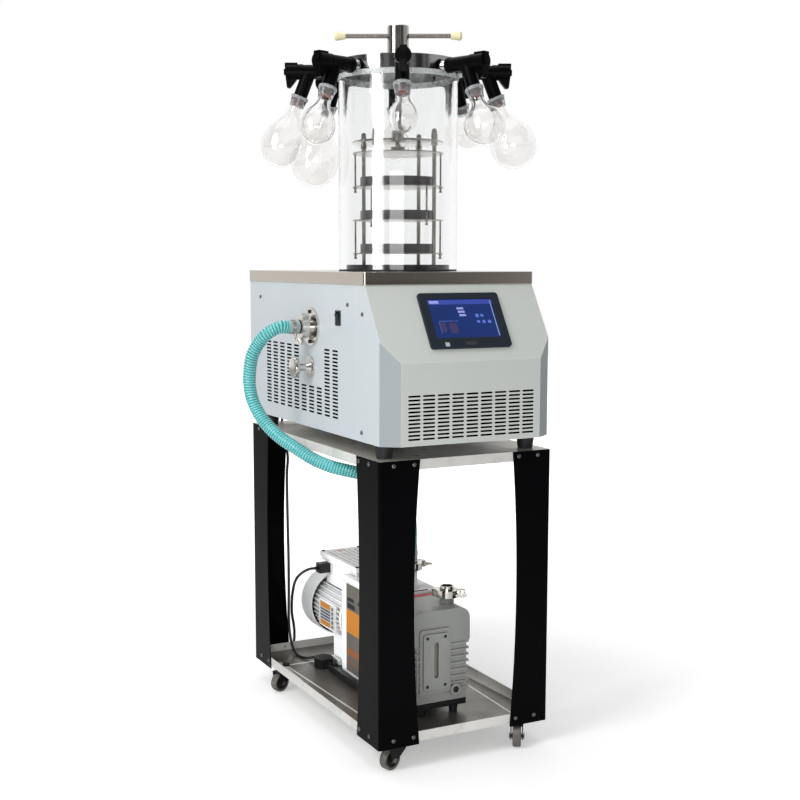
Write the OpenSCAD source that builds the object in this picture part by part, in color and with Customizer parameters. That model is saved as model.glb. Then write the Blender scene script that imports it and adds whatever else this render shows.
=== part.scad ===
// Bench-top manifold freeze dryer on its trolley, with the rotary vane vacuum pump that serves it.
// Millimetres. +Z up, the floor is z = 0, -Y is the operator's side, X = 0 is the middle.

/* [Trolley] */
// Width over the legs
trolley_w = 410; // [380:5:500]
// Depth over the legs
trolley_d = 702; // [660:2:850]
// Height of the legs
leg_h = 600; // [480:10:720]
// Height of the legs' lower ends above the floor
leg_lift = 52; // [48:1:60]
// Sheet of the legs
leg_sheet = 2; // [1.5:0.5:3]
// Width of a leg's front or rear flange at its ends
leg_flange_x = 94; // [70:1:110]
// Width of a leg's side flange at its ends
leg_flange_y = 105; // [80:1:130]
// How much narrower a leg is at half height
leg_waist = 13; // [4:1:20]
// Sheet of the two folded trays
tray_sheet = 1.5; // [1:0.5:2]
// Depth of a tray's folded rim
tray_rim = 21; // [16:1:30]
// Underside of the lower tray above the legs' ends
tray_lift = 6; // [4:1:12]

/* [Castors] */
// Diameter of a wheel over its tyre
wheel_d = 46; // [38:1:46]
// Width of a wheel
wheel_w = 18; // [14:1:22]
// Offset from a swivel pin to its wheel
castor_trail = 21; // [16:1:26]
// Half the track of the front castors
castor_front_x = 148; // [120:1:165]
// Half the track of the rear castors
castor_rear_x = 170; // [120:1:175]
// Place of the front castors along Y
castor_front_y = -322; // [-325:1:-200]
// Place of the rear castors along Y
castor_rear_y = 232; // [180:1:320]

/* [Case] */
// Width of the case
case_w = 400; // [360:5:480]
// Place of the vertical front face
front_y = -368.5; // [-420:0.5:-350]
// Place of the rear face
rear_y = 367; // [340:1:440]
// Place of the top edge of the sloping panel
slope_top_y = -276; // [-300:1:-250]
// Height of the case without the worktop
case_h = 320; // [280:5:380]
// Height of the vertical part of the front
front_h = 167; // [130:1:185]
// Size of the cut-off corners across the front
corner_x = 35.7; // [20:0.1:50]
// Size of the cut-off corners along the side
corner_y = 25.5; // [15:0.1:40]
// Sheet of the case
case_sheet = 1.5; // [1:0.5:2]
// Place of the joint between front shell and side panels
seam_y = -239; // [-242:1:-210]
// Height of the rubber feet
foot_h = 30; // [20:1:40]
// Height of the stainless worktop
worktop_h = 26; // [20:1:35]
// Overhang of the worktop
worktop_lip = 2; // [1:0.5:6]

/* [Vents] */
// Length of a vent slot
slot_l = 28; // [20:1:30]
// Height of a vent slot
slot_h = 4.2; // [3:0.1:5]
// Spacing of the front slots' columns
front_slot_dx = 33.6; // [32:0.1:36]
// Spacing of the side slots' columns
side_slot_dy = 42.2; // [36:0.1:44]
// Spacing of the slots' rows
slot_dz = 7.9; // [7:0.1:9]

/* [Chamber] */
// Place of the chamber's axis along Y
chamber_y = -36; // [-50:1:0]
// Outer radius of the clear cylinder
chamber_r = 132; // [118:1:134]
// Wall of the clear cylinder
chamber_wall = 8; // [5:1:10]
// Height of the clear cylinder
chamber_h = 419; // [380:1:480]
// Thickness of the seals
seal_t = 4; // [3:1:6]
// Height of the manifold ring
manifold_h = 30; // [28:1:40]
// Number of flask ports
ports = 8; // [4:1:8]
// Direction of the first port
port_turn = -115; // [-180:1:180]
// Tilt of the flasks from plumb
flask_tilt = 21.5; // [20:0.5:30]

/* [Rack] */
// Radius of the shelves
shelf_r = 101; // [96:1:104]
// Spacing of the shelves
shelf_gap = 73; // [60:1:73]
// Radius of the trays
pan_r = 84; // [70:1:84]
// Depth of the trays
pan_h = 20; // [15:1:30]
// Radius of the guide rods
rod_r = 4.5; // [3:0.5:5]
// Radius at which the guide rods stand
rod_ring_r = 92; // [91:1:93]
// Travel of the stoppering screw
press_travel = 12; // [5:1:12]

/* [Pump] */
// Middle of the pump along X
pump_x = 3; // [-10:1:10]
// Front face of the oil box
oil_front_y = -243; // [-260:1:-230]
// Width of the oil box and the pump block
pump_w = 140; // [120:2:150]
// Height of the oil box
oil_h = 205; // [180:5:225]
// Length of the oil box
oil_l = 143; // [120:1:160]
// Length of the pump block
block_l = 221; // [190:1:235]
// Length of the motor with its cowl
motor_l = 224; // [180:1:230]
// Radius of the motor's fan cowl
cowl_r = 83; // [75:1:85]
// Number of cooling fins on each side of the oil box
oil_fins = 8; // [5:1:9]

/* [Hidden] */
$fn = 64;

// small allowance that carries a cut clear of the face it goes through
cut = 1;
// running clearance of a pin in its hole, on the radius
run = 0.08;
// loose clearance on the radius
loose = 0.4;

// ---------------------------------------------------------------- outlines and sweeps
function unit(v) = v / norm(v);
function left_of(a, b) = let (e = unit(b - a)) [-e[1], e[0]];
// a convex counter-clockwise outline moved inwards by d
function inset(pts, d) = [for (i = [0 : len(pts) - 1]) let (
    p = pts[i],
    n1 = left_of(pts[(i + len(pts) - 1) % len(pts)], p),
    n2 = left_of(p, pts[(i + 1) % len(pts)]))
    p + d * (n1 + n2) / (1 + n1 * n2)];
// arc points about c
function arc(c, r, a0, a1, n) = [for (i = [0 : n]) let (a = a0 + (a1 - a0) * i / n)
    c + r * [cos(a), sin(a)]];
// cubic curve between a and d with handles b and c, without its first point
function bezier(a, b, c, d, n) = [for (i = [1 : n]) let (t = i / n, u = 1 - t)
    u*u*u*a + 3*u*u*t*b + 3*u*t*t*c + t*t*t*d];
function tangent(p, i) = unit(p[min(i + 1, len(p) - 1)] - p[max(i - 1, 0)]);
function square_to(v, t) = unit(v - (v * t) * t);

// a cord: rings of equal sides along the points p, each ring turned as little as possible
module cord(p, r, sides) {
    sides_up = [for (i = 0, v = square_to([0.3, 0.2, 0.93], tangent(p, 0)); i < len(p);
        i = i + 1, v = square_to(v, tangent(p, min(i, len(p) - 1)))) v];
    rings = [for (i = [0 : len(p) - 1]) let (
        t = i == 0 ? unit(p[1] - p[0]) : i == len(p) - 1 ? unit(p[i] - p[i - 1]) : tangent(p, i),
        u = square_to(sides_up[i], t), w = cross(t, u))
        for (k = [0 : sides - 1]) p[i] + r * (cos(360 * k / sides) * u + sin(360 * k / sides) * w)];
    last = (len(p) - 1) * sides;
    polyhedron(rings, concat(
        [[for (k = [0 : sides - 1]) k]],
        [for (i = [0 : len(p) - 2]) for (k = [0 : sides - 1]) let (
            a = i * sides + k, b = i * sides + (k + 1) % sides)
            each [[a, b + sides, b], [a, a + sides, b + sides]]],
        [[for (k = [sides - 1 : -1 : 0]) last + k]]), convexity = 8);
}

module tube(r, bore, h) difference() {
    cylinder(r = r, h = h);
    translate([0, 0, -cut]) cylinder(r = bore, h = h + 2 * cut);
}
module rounded_rect(w, h, r) {
    square([w - 2 * r, h], center = true);
    square([w, h - 2 * r], center = true);
    for (x = [-1, 1], y = [-1, 1]) translate([x * (w / 2 - r), y * (h / 2 - r)]) circle(r);
}
module rounded_plate(w, h, r, t) linear_extrude(t) rounded_rect(w, h, r);
// turns +Z to +X, +Y, -X or -Y
module along_x() rotate([0, 90, 0]) children();
module along_minus_x() rotate([0, -90, 0]) children();
module along_minus_y() rotate([90, 0, 0]) children();
module along_y() rotate([-90, 0, 0]) children();

// ---------------------------------------------------------------- levels
tray_floor = leg_lift + tray_lift;
tray_top = tray_floor + tray_sheet;
shelf_top = leg_lift + leg_h;
case_z = shelf_top + foot_h;
case_top = case_z + case_h;
deck = case_top + worktop_h;
// height of the ports over the lid's lower face
port_rise = 8;
cylinder_z = deck + seal_t;
lid_seal_z = cylinder_z + chamber_h;
lid_z = lid_seal_z + seal_t;
lid_top = lid_z + manifold_h;
port_z = lid_z + port_rise;
half_w = trolley_w / 2;
half_d = trolley_d / 2;
case_x = case_w / 2;

// ---------------------------------------------------------------- trolley
screw_r = 2.4;
screw_hole_r = 2.6;
head_r = 4.5;
head_h = 2.4;
screw_l = 7;
// distances of a leg's screws from its corner, and of their rows from the leg's ends
leg_screws_x = [33, 80];
leg_screws_y = [45, 92];
leg_screw_top = 10;
leg_screw_foot = 17;

// places a child on each of the trolley's four sides at the screws of its legs, +Z outwards
module leg_screw_places() for (sx = [-1, 1], sy = [-1, 1], z = [leg_lift + leg_screw_foot,
    shelf_top - leg_screw_top]) {
    for (u = leg_screws_x) translate([sx * (half_w - u), sy * half_d, z]) rotate([-90 * sy, 0, 0])
        children();
    for (u = leg_screws_y) translate([sx * half_w, sy * (half_d - u), z]) rotate([0, 90 * sx, 0])
        children();
}
module leg_screw_holes() leg_screw_places() translate([0, 0, -screw_l]) cylinder(r = screw_hole_r,
    h = screw_l + cut);

// one leg with its corner at the origin and its flanges along +X and +Y
module leg() {
    waist_r = (leg_h * leg_h / 4 + leg_waist * leg_waist) / (2 * leg_waist);
    bend = 2 * leg_sheet;
    difference() {
        linear_extrude(leg_h) difference() {
            union() {
                translate([bend, 0]) square([leg_flange_x - bend, leg_sheet]);
                translate([0, bend]) square([leg_sheet, leg_flange_y - bend]);
                intersection() {
                    translate([bend, bend]) circle(bend);
                    square(bend);
                }
            }
            translate([bend, bend]) circle(bend - leg_sheet);
        }
        translate([leg_flange_x - leg_waist + waist_r, -cut, leg_h / 2]) along_y()
            cylinder(r = waist_r, h = leg_sheet + 2 * cut, $fn = 256);
        translate([-cut, leg_flange_y - leg_waist + waist_r, leg_h / 2]) along_x()
            cylinder(r = waist_r, h = leg_sheet + 2 * cut, $fn = 256);
    }
}
module trolley_legs() color([0.06, 0.06, 0.07]) difference() {
    for (sx = [0, 1], sy = [0, 1]) mirror([sx, 0, 0]) mirror([0, sy, 0])
        translate([-half_w, -half_d, leg_lift]) leg();
    leg_screw_holes();
}

castors = [["fl", -castor_front_x, castor_front_y, 197], ["fr", castor_front_x, castor_front_y, 237],
    ["bl", -castor_rear_x, castor_rear_y, 200], ["br", castor_rear_x, castor_rear_y, 215]];
swivel_pin_r = 5;

// a shallow folded tray with its rim upwards, its floor's underside at z = 0
module folded_tray() {
    w = trolley_w - 2 * leg_sheet;
    d = trolley_d - 2 * leg_sheet;
    difference() {
        rounded_plate(w, d, leg_sheet + 1, tray_rim);
        translate([0, 0, tray_sheet]) rounded_plate(w - 2 * tray_sheet, d - 2 * tray_sheet, 2, tray_rim);
    }
}
module trolley_trays() color([0.62, 0.61, 0.58]) difference() {
    union() {
        translate([0, 0, tray_floor]) folded_tray();
        translate([0, 0, shelf_top]) mirror([0, 0, 1]) folded_tray();
    }
    leg_screw_holes();
    for (c = castors) translate([c[1], c[2], tray_floor - cut])
        cylinder(r = swivel_pin_r + run, h = tray_sheet + 2 * cut);
}

// ---------------------------------------------------------------- castors
axle_r = 3;
axle_z = wheel_d / 2;
fork_gap = 2.5;
fork_sheet = 2.2;
race_gap = 0.3;
race_top = tray_floor - race_gap;
crown_z = axle_z + wheel_d / 2 + 2;
fork_in = wheel_w / 2 + fork_gap;
fork_out = fork_in + fork_sheet;

// local frame: swivel axis at the origin, wheel on +X
module castor_fork() {
    color([0.09, 0.09, 0.1]) {
        difference() {
            union() {
                translate([0, 0, crown_z + fork_sheet])
                    cylinder(r = 15, h = race_top - crown_z - fork_sheet);
                translate([0, 0, race_top - cut]) cylinder(r = swivel_pin_r,
                    h = tray_top + 2 * race_gap - race_top + cut);
                translate([0, 0, tray_top + race_gap]) cylinder(r = 9, h = 4);
                translate([-15, -fork_out, crown_z]) cube([castor_trail + 27, 2 * fork_out, fork_sheet]);
                for (s = [-1, 1]) translate([0, s * (fork_in + fork_sheet / 2) + fork_sheet / 2, 0])
                    along_minus_y()
                    linear_extrude(fork_sheet) {
                        polygon([[-15, crown_z + cut], [-12, crown_z - 8], [castor_trail - 8, axle_z - 3],
                            [castor_trail + 8, axle_z + 2], [castor_trail + 12, crown_z + cut]]);
                        translate([castor_trail, axle_z]) circle(8.5);
                    }
            }
            translate([castor_trail, fork_out + cut, axle_z]) along_minus_y()
                cylinder(r = axle_r + run, h = 2 * fork_out + 2 * cut);
        }
    }
    color([0.75, 0.75, 0.77]) translate([castor_trail, 0, axle_z]) {
        along_minus_y() cylinder(r = axle_r, h = 2 * fork_out + 3, center = true);
        for (s = [0, 1]) mirror([0, s, 0]) translate([0, -fork_out, 0]) along_minus_y()
            cylinder(r = 5.5, h = 3, $fn = 6);
    }
}
module castor_wheel() translate([castor_trail, 0, axle_z]) rotate([90, 0, 0]) {
    hub_r = wheel_d / 2 - 6;
    color([0.1, 0.1, 0.11]) rotate_extrude() polygon([
        [axle_r + run, -wheel_w / 2 - 1.5], [7, -wheel_w / 2 - 1.5], [7, -wheel_w / 2 + 3],
            [hub_r - 3, -wheel_w / 2 + 3],
        [hub_r - 2, -wheel_w / 2 + 1], [hub_r, -wheel_w / 2 + 1], [hub_r, wheel_w / 2 - 1],
            [hub_r - 2, wheel_w / 2 - 1],
        [hub_r - 3, wheel_w / 2 - 3], [7, wheel_w / 2 - 3], [7, wheel_w / 2 + 1.5],
            [axle_r + run, wheel_w / 2 + 1.5]]);
    color([0.42, 0.41, 0.4]) rotate_extrude() polygon(concat(
        [[hub_r, wheel_w / 2 - 1], [hub_r, -wheel_w / 2 + 1]],
        arc([wheel_d / 2 - 3, -wheel_w / 2 + 3], 3, -90, 0, 5),
        arc([wheel_d / 2 - 3, wheel_w / 2 - 3], 3, 0, 90, 5)));
}
module castor_at(c) translate([c[1], c[2], 0]) rotate(c[3]) children();

// ---------------------------------------------------------------- case
trap_flange_r = 108;
trap_r = 100;
pan_lip = 14;
foot_r = 20;
feet = [for (x = [-1, 1], y = [-305, 310]) [x * (case_x - 30), y]];
front_slope = atan((slope_top_y - front_y) / (case_h - front_h));
slope_l = (case_h - front_h) / cos(front_slope);

// slots in columns and rows about the centre, with some cells left out
module slots(columns, rows, dx, dz, skip = []) for (i = [0 : columns - 1], j = [0 : rows - 1])
    if (len([for (s = skip) if (i >= s[0] && i <= s[1] && j >= s[2] && j <= s[3]) 1]) == 0)
        translate([(i - (columns - 1) / 2) * dx, (j - (rows - 1) / 2) * dz])
            rounded_rect(slot_l, slot_h, slot_h / 2 - 0.1);

// puts a child on the left side panel's outer face: X to the front, Y up, Z outwards
module on_left(y, z) translate([-case_x, y, z]) rotate([90, 0, -90]) children();
// puts a child on the sloping panel: X to the right, Y up the slope, Z outwards
module on_slope(x, down) translate([x, slope_top_y, case_top]) rotate([90 - front_slope, 0, 0])
    translate([0, -down, 0]) children();

side_vent_y = 57;
side_vent_z = case_z + 107;
side_vent_columns = 10;
side_vent_rows = 19;
// height of the ports above the case's lower edge
vacuum_at = [-10, case_z + 225];
drain_at = [-2, case_z + 135];
switch_at = [-150, case_z + 249];
switch_w = 25;
switch_h = 32;
switch_depth = 22;
port_bore_r = 12.5;
port_pipe_r = 15;
drain_neck_r = 8;

case_screws_side = [[298, case_z + 283], [-197, case_z + 278]];
case_screws_nose = [[-267, case_z + 261], [-263, case_z + 19]];
case_screw_places = concat(case_screws_side, case_screws_nose);
module case_screw_holes() for (s = [0, 1]) mirror([s, 0, 0]) for (p = case_screw_places)
    translate([-case_x - cut, p[0], p[1]]) along_x() cylinder(r = screw_hole_r, h = 8);

// one side panel as the left one, with a folded rim under the worktop
module side_panel(ported) difference() {
    union() {
        translate([-case_x, seam_y, case_z]) rotate([90, 0, 90]) linear_extrude(case_sheet) difference() {
            square([rear_y - seam_y, case_h]);
            translate([side_vent_y - seam_y, side_vent_z - case_z])
                slots(side_vent_columns, side_vent_rows, side_slot_dy, slot_dz,
                    ported ? [[2, 4, 8, 18]] : []);
        }
        translate([-case_x, seam_y, case_top - case_sheet])
            cube([pan_lip, rear_y - seam_y - 6, case_sheet]);
    }
    case_screw_holes();
    if (ported) {
        translate([-case_x - cut, vacuum_at[0], vacuum_at[1]]) along_x()
            cylinder(r = port_pipe_r + loose, h = 4);
        translate([-case_x - cut, drain_at[0], drain_at[1]]) along_x()
            cylinder(r = drain_neck_r + loose, h = 4);
        translate([-case_x - cut, switch_at[0] - switch_w / 2 + 2, switch_at[1] - switch_h / 2 + 2])
            cube([4, switch_w - 4, switch_h - 4]);
    }
}
module side_panel_left() color([0.83, 0.87, 0.89]) side_panel(true);
module side_panel_right() color([0.83, 0.87, 0.89]) mirror([1, 0, 0]) side_panel(false);

hmi_w = 190;
hmi_h = 127;
hmi_x = 6;
hmi_down = 87;
hmi_rise = 6;
hmi_body = [172, 110, 30];
// the front's outline from the side, and from above
nose_side = [[front_y, case_z], [seam_y, case_z], [seam_y, case_top], [slope_top_y, case_top],
    [front_y, case_z + front_h]];
nose_plan = [[-case_x, seam_y], [-case_x, front_y + corner_y], [-case_x + corner_x, front_y],
    [case_x - corner_x, front_y], [case_x, front_y + corner_y], [case_x, seam_y]];
// the same outlines opened downwards and to the rear
open_side = [[front_y, case_z - 9], [seam_y + 9, case_z - 9], [seam_y + 9, case_top],
    [slope_top_y, case_top],
    [front_y, case_z + front_h]];
open_plan = [[-case_x, seam_y + 9], [-case_x, front_y + corner_y], [-case_x + corner_x, front_y],
    [case_x - corner_x, front_y], [case_x, front_y + corner_y], [case_x, seam_y + 9]];
module nose(side, plan, d) intersection() {
    translate([-case_w, 0, 0]) rotate([90, 0, 90]) linear_extrude(2 * case_w) polygon(inset(side, d));
    translate([0, 0, case_z - case_h]) linear_extrude(3 * case_h) polygon(inset(plan, d));
}
front_vent_z = case_z + 57;
module front_shell() color([0.80, 0.81, 0.78]) difference() {
    nose(nose_side, nose_plan, 0);
    nose(open_side, open_plan, case_sheet);
    translate([0, front_y + 2 * case_sheet, front_vent_z]) along_minus_y() linear_extrude(4 * case_sheet)
        slots(9, 12, front_slot_dx, slot_dz);
    on_slope(hmi_x, hmi_down) translate([-hmi_body[0] / 2 - loose, -hmi_body[1] / 2 - loose,
        -3 * case_sheet])
        cube([hmi_body[0] + 2 * loose, hmi_body[1] + 2 * loose, 6 * case_sheet]);
    case_screw_holes();
}

gland_places = [[-150, case_z + 60], [-105, case_z + 60]];
gland_hole_r = 6;
// base pan with its folded rims and rear wall
module chassis() color([0.72, 0.74, 0.75]) {
    w = case_w - 2 * case_sheet;
    front = front_y + corner_y + 3;
    difference() {
        union() {
            translate([-w / 2, front, case_z]) cube([w, rear_y - front, case_sheet]);
            translate([-w / 2, rear_y - case_sheet, case_z]) cube([w, case_sheet, case_h]);
            for (s = [0, 1]) mirror([s, 0, 0])
                translate([-w / 2, seam_y + 10, case_z]) cube([case_sheet, rear_y - seam_y - 10, pan_lip]);
        }
        translate([0, rear_y + cut, case_z + 190]) along_minus_y() linear_extrude(case_sheet + 2 * cut)
            slots(7, 12, side_slot_dy, 2 * slot_dz);
        for (g = gland_places) translate([g[0], rear_y + cut, g[1]]) along_minus_y()
            cylinder(r = gland_hole_r + run, h = 4);
        for (f = feet) translate([f[0], f[1], case_z - cut]) cylinder(r = screw_hole_r, h = 4);
    }
}
module machine_feet() color([0.07, 0.07, 0.07]) for (f = feet) translate([f[0], f[1], shelf_top]) {
    difference() {
        cylinder(r1 = foot_r - 4, r2 = foot_r, h = foot_h);
        translate([0, 0, -cut]) cylinder(r = 9, h = 6);
    }
    translate([0, 0, foot_h - cut]) cylinder(r = screw_r, h = 6);
}
worktop_sheet = 2;
module worktop() color([0.55, 0.51, 0.46]) {
    x = case_x + worktop_lip;
    y0 = slope_top_y - worktop_lip;
    y1 = rear_y + worktop_lip;
    t = worktop_sheet;
    fold = 14;
    difference() {
        translate([0, (y0 + y1) / 2, case_top]) rounded_plate(2 * x, y1 - y0, 4, worktop_h);
        translate([0, (y0 + y1) / 2, case_top + t])
            rounded_plate(2 * (x - t), y1 - y0 - 2 * t, 2, worktop_h - 2 * t);
        translate([0, (y0 + y1) / 2, case_top - cut])
            rounded_plate(2 * (x - fold), y1 - y0 - 2 * fold, 2, worktop_h / 2);
        translate([0, chamber_y, case_top]) cylinder(r = trap_r + loose, h = worktop_h + cut);
    }
}

// ---------------------------------------------------------------- fasteners
module pan_screw(l) {
    cylinder(r1 = head_r, r2 = head_r - 1.2, h = head_h);
    translate([0, 0, -l]) cylinder(r = screw_r, h = l + cut);
}
module pan_screws() color([0.5, 0.5, 0.52]) {
    leg_screw_places() pan_screw(screw_l);
    for (s = [0, 1]) mirror([s, 0, 0]) for (p = case_screw_places)
        translate([-case_x, p[0], p[1]]) along_minus_x() pan_screw(screw_l);
}

// ---------------------------------------------------------------- operator panel
screen_w = 154;
screen_h = 90;
screen_up = 4;
screen_inset = 1.4;
module hmi_bezel() color([0.17, 0.18, 0.2]) on_slope(hmi_x, hmi_down) difference() {
    union() {
        rounded_plate(hmi_w, hmi_h, 6, hmi_rise);
        translate([-hmi_body[0] / 2, -hmi_body[1] / 2, -hmi_body[2]]) cube(hmi_body + [0, 0, cut]);
    }
    translate([0, screen_up, hmi_rise - screen_inset - 0.6]) linear_extrude(4)
        square([screen_w, screen_h], center = true);
}
module hmi_screen() color([0.12, 0.18, 0.72]) on_slope(hmi_x, hmi_down)
    translate([0, screen_up, hmi_rise - screen_inset - 0.6]) linear_extrude(0.6)
        square([screen_w - 0.2, screen_h - 0.2], center = true);

// ---------------------------------------------------------------- power switch
rocker_tilt = 12;
// the rocker turns about the switch's cross axis, behind the panel's face
rocker_axis_z = -4;
module switch_frame() color([0.05, 0.05, 0.05]) on_left(switch_at[0], switch_at[1]) difference() {
    union() {
        rounded_plate(switch_w, switch_h, 2, 2);
        translate([0, 0, -switch_depth]) linear_extrude(switch_depth + cut)
            square([switch_w - 5, switch_h - 5], center = true);
    }
    translate([0, 0, -switch_depth / 2]) linear_extrude(switch_depth)
        square([switch_w - 8, switch_h - 7], center = true);
    translate([-switch_w / 2, 0, rocker_axis_z]) along_x() cylinder(r = 1.5 + run, h = switch_w);
}
module power_rocker() color([0.08, 0.08, 0.08]) on_left(switch_at[0], switch_at[1]) {
    translate([-switch_w / 2 + 3, 0, rocker_axis_z]) along_x() cylinder(r = 1.5, h = switch_w - 6);
    translate([-(switch_w - 8) / 2 + loose, 0, rocker_axis_z]) along_x()
        linear_extrude(switch_w - 8 - 2 * loose) {
        half = (switch_h - 7) / 2 - 1.9;
        circle(3);
        rotate(rocker_tilt) polygon([[2, -6], [-5, -half], [-8.2, -half], [-7, 0], [-8.2, half],
            [-5, half], [2, 6]]);
    }
}

// ---------------------------------------------------------------- vacuum and drain ports
kf_r = 20;
kf_t = 4;
flange_r = 42;
flange_t = 5;
stub_l = 18;
nozzle_l = 33;
barb_r = port_bore_r + 0.6;
kf_clamp_r = 26;
kf_clamp_w = 16;
exhaust_at = [pump_x + 43, oil_front_y + 56];
inlet_at = [pump_x + 9, -80];
pump_floor = tray_top + 7.5;
block_top = pump_floor + 236;
oil_z = pump_floor + 25;
oil_top = oil_z + oil_h;
inlet_base_h = 3;
inlet_stub_l = 54;
inlet_kf_z = block_top + inlet_base_h + inlet_stub_l;
exhaust_kf_z = oil_top + 21;
exhaust_bore = 37;
exhaust_neck_l = 16;
inlet_nozzle_l = 45;
kf_x = -case_x - flange_t - stub_l;

// a stub with a clamping collar at its end, along +Z
module kf_stub(r, bore, l) difference() {
    union() {
        cylinder(r = r, h = l);
        translate([0, 0, l - kf_t]) cylinder(r = kf_r, h = kf_t);
    }
    translate([0, 0, -cut]) cylinder(r = bore, h = l + 2 * cut);
}
module vacuum_flange() color([0.78, 0.76, 0.72]) on_left(vacuum_at[0], vacuum_at[1]) difference() {
    union() {
        cylinder(r = flange_r, h = flange_t);
        translate([0, 0, -12]) cylinder(r = port_pipe_r, h = 13);
        translate([0, 0, flange_t - cut]) cylinder(r = port_pipe_r, h = stub_l + cut);
        translate([0, 0, flange_t + stub_l - kf_t]) cylinder(r = kf_r, h = kf_t);
    }
    translate([0, 0, -13]) cylinder(r = port_bore_r, h = 60);
    for (a = [0 : 60 : 300]) rotate(a + 30) translate([flange_r - 9, 0, -cut])
        cylinder(r = 3, h = flange_t + 2 * cut);
}
// a collar with a barbed tail for the hose, along +Z
module hose_nozzle(l, barbs) difference() {
    union() {
        cylinder(r = kf_r, h = kf_t);
        cylinder(r = barb_r, h = l);
        if (barbs > 0) for (i = [0 : barbs - 1]) translate([0, 0, l - 7 * (i + 1)])
            cylinder(r1 = barb_r + 1.4, r2 = barb_r - 0.1, h = 6);
    }
    translate([0, 0, -cut]) cylinder(r = port_bore_r - 2, h = l + 2 * cut);
}
module exhaust_neck() difference() {
    union() {
        cylinder(r = kf_r, h = kf_t);
        cylinder(r = port_pipe_r, h = exhaust_neck_l);
    }
    translate([0, 0, -cut]) cylinder(r = port_bore_r, h = exhaust_neck_l + 2 * cut);
}
module hose_nozzles() color([0.8, 0.78, 0.74]) {
    translate([kf_x, vacuum_at[0], vacuum_at[1]]) along_minus_x() hose_nozzle(nozzle_l, 2);
    translate([inlet_at[0], inlet_at[1], inlet_kf_z]) hose_nozzle(inlet_nozzle_l, 3);
    translate([exhaust_at[0], exhaust_at[1], exhaust_kf_z]) exhaust_neck();
}
// the two-part ring that holds two collars, its hinge and wing nut, about z = 0
module kf_clamp() {
    ears = 9;
    difference() {
        union() {
            translate([0, 0, -kf_clamp_w / 2]) cylinder(r = kf_clamp_r, h = kf_clamp_w);
            translate([kf_clamp_r - 3, -ears, -kf_clamp_w / 2]) cube([17, 2 * ears, kf_clamp_w]);
            translate([-kf_clamp_r - 7, -5, -kf_clamp_w / 2]) cube([10, 10, kf_clamp_w]);
        }
        translate([0, 0, -kf_clamp_w]) cylinder(r = port_pipe_r + 1.2, h = 2 * kf_clamp_w);
        translate([0, 0, -kf_t - 0.2]) cylinder(r = kf_r + 0.1, h = 2 * kf_t + 0.4);
        translate([kf_clamp_r - 8, -1.5, -kf_clamp_w]) cube([30, 3, 2 * kf_clamp_w]);
    }
    translate([kf_clamp_r + 8, 0, 0]) along_minus_y() {
        translate([0, 0, -ears - 10]) cylinder(r = 2.5, h = 2 * ears + 24);
        translate([0, 0, ears - cut / 2]) cylinder(r = 6, h = 6);
        for (s = [-1, 1]) translate([s * 10 - 2, -2, ears + 2]) cube([4, 4, 14]);
        translate([-10, -2, ears + 1]) cube([20, 4, 5]);
        translate([0, 0, -ears - 4]) cylinder(r = 5, h = 5);
    }
}
module kf_clamps() color([0.7, 0.68, 0.64]) {
    translate([kf_x, vacuum_at[0], vacuum_at[1]]) rotate([35, 0, 0]) along_minus_x() rotate(180)
        kf_clamp();
    translate([inlet_at[0], inlet_at[1], inlet_kf_z]) rotate(20) kf_clamp();
    translate([exhaust_at[0], exhaust_at[1], exhaust_kf_z]) rotate(-35) kf_clamp();
}
drain_flange_r = 24;
drain_flange_t = 4;
drain_neck_l = 26;
drain_knob_t = 14;
module drain_valve() color([0.78, 0.76, 0.72]) on_left(drain_at[0], drain_at[1]) difference() {
    union() {
        cylinder(r = drain_flange_r, h = drain_flange_t);
        translate([0, 0, -10]) cylinder(r = drain_neck_r, h = 10 + drain_flange_t + drain_neck_l);
        translate([0, 0, drain_flange_t - 0.5]) cylinder(r1 = 15, r2 = drain_neck_r, h = 10);
    }
    translate([0, 0, -11]) cylinder(r = 4 + run, h = 60);
}
module drain_knob() color([0.8, 0.79, 0.76]) on_left(drain_at[0], drain_at[1])
    translate([0, 0, drain_flange_t + drain_neck_l + 0.3]) {
        rotate_extrude() polygon(concat([[0, 0], [drain_flange_r - 9, 0]],
            [[drain_flange_r - 1.5, 4], [drain_flange_r - 0.5, 5]],
            arc([drain_flange_r - 2.5, drain_knob_t - 2], 2, 0, 90, 4), [[0, drain_knob_t]]));
        translate([0, 0, -20]) cylinder(r = 4, h = 21);
    }
gland_l = 14;
lead_r = 3.5;
module rear_glands() color([0.08, 0.08, 0.08]) for (g = gland_places) translate([g[0], rear_y, g[1]])
    along_y() difference() {
    union() {
        translate([0, 0, -case_sheet - 8]) cylinder(r = gland_hole_r, h = case_sheet + 8 + cut);
        cylinder(r = 9, h = 5, $fn = 6);
        cylinder(r1 = 7.5, r2 = 5.5, h = gland_l);
        translate([0, 0, -case_sheet - 5]) cylinder(r = 9, h = 5, $fn = 6);
    }
    translate([0, 0, gland_l - 2]) cylinder(r = lead_r, h = 3);
}

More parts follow.
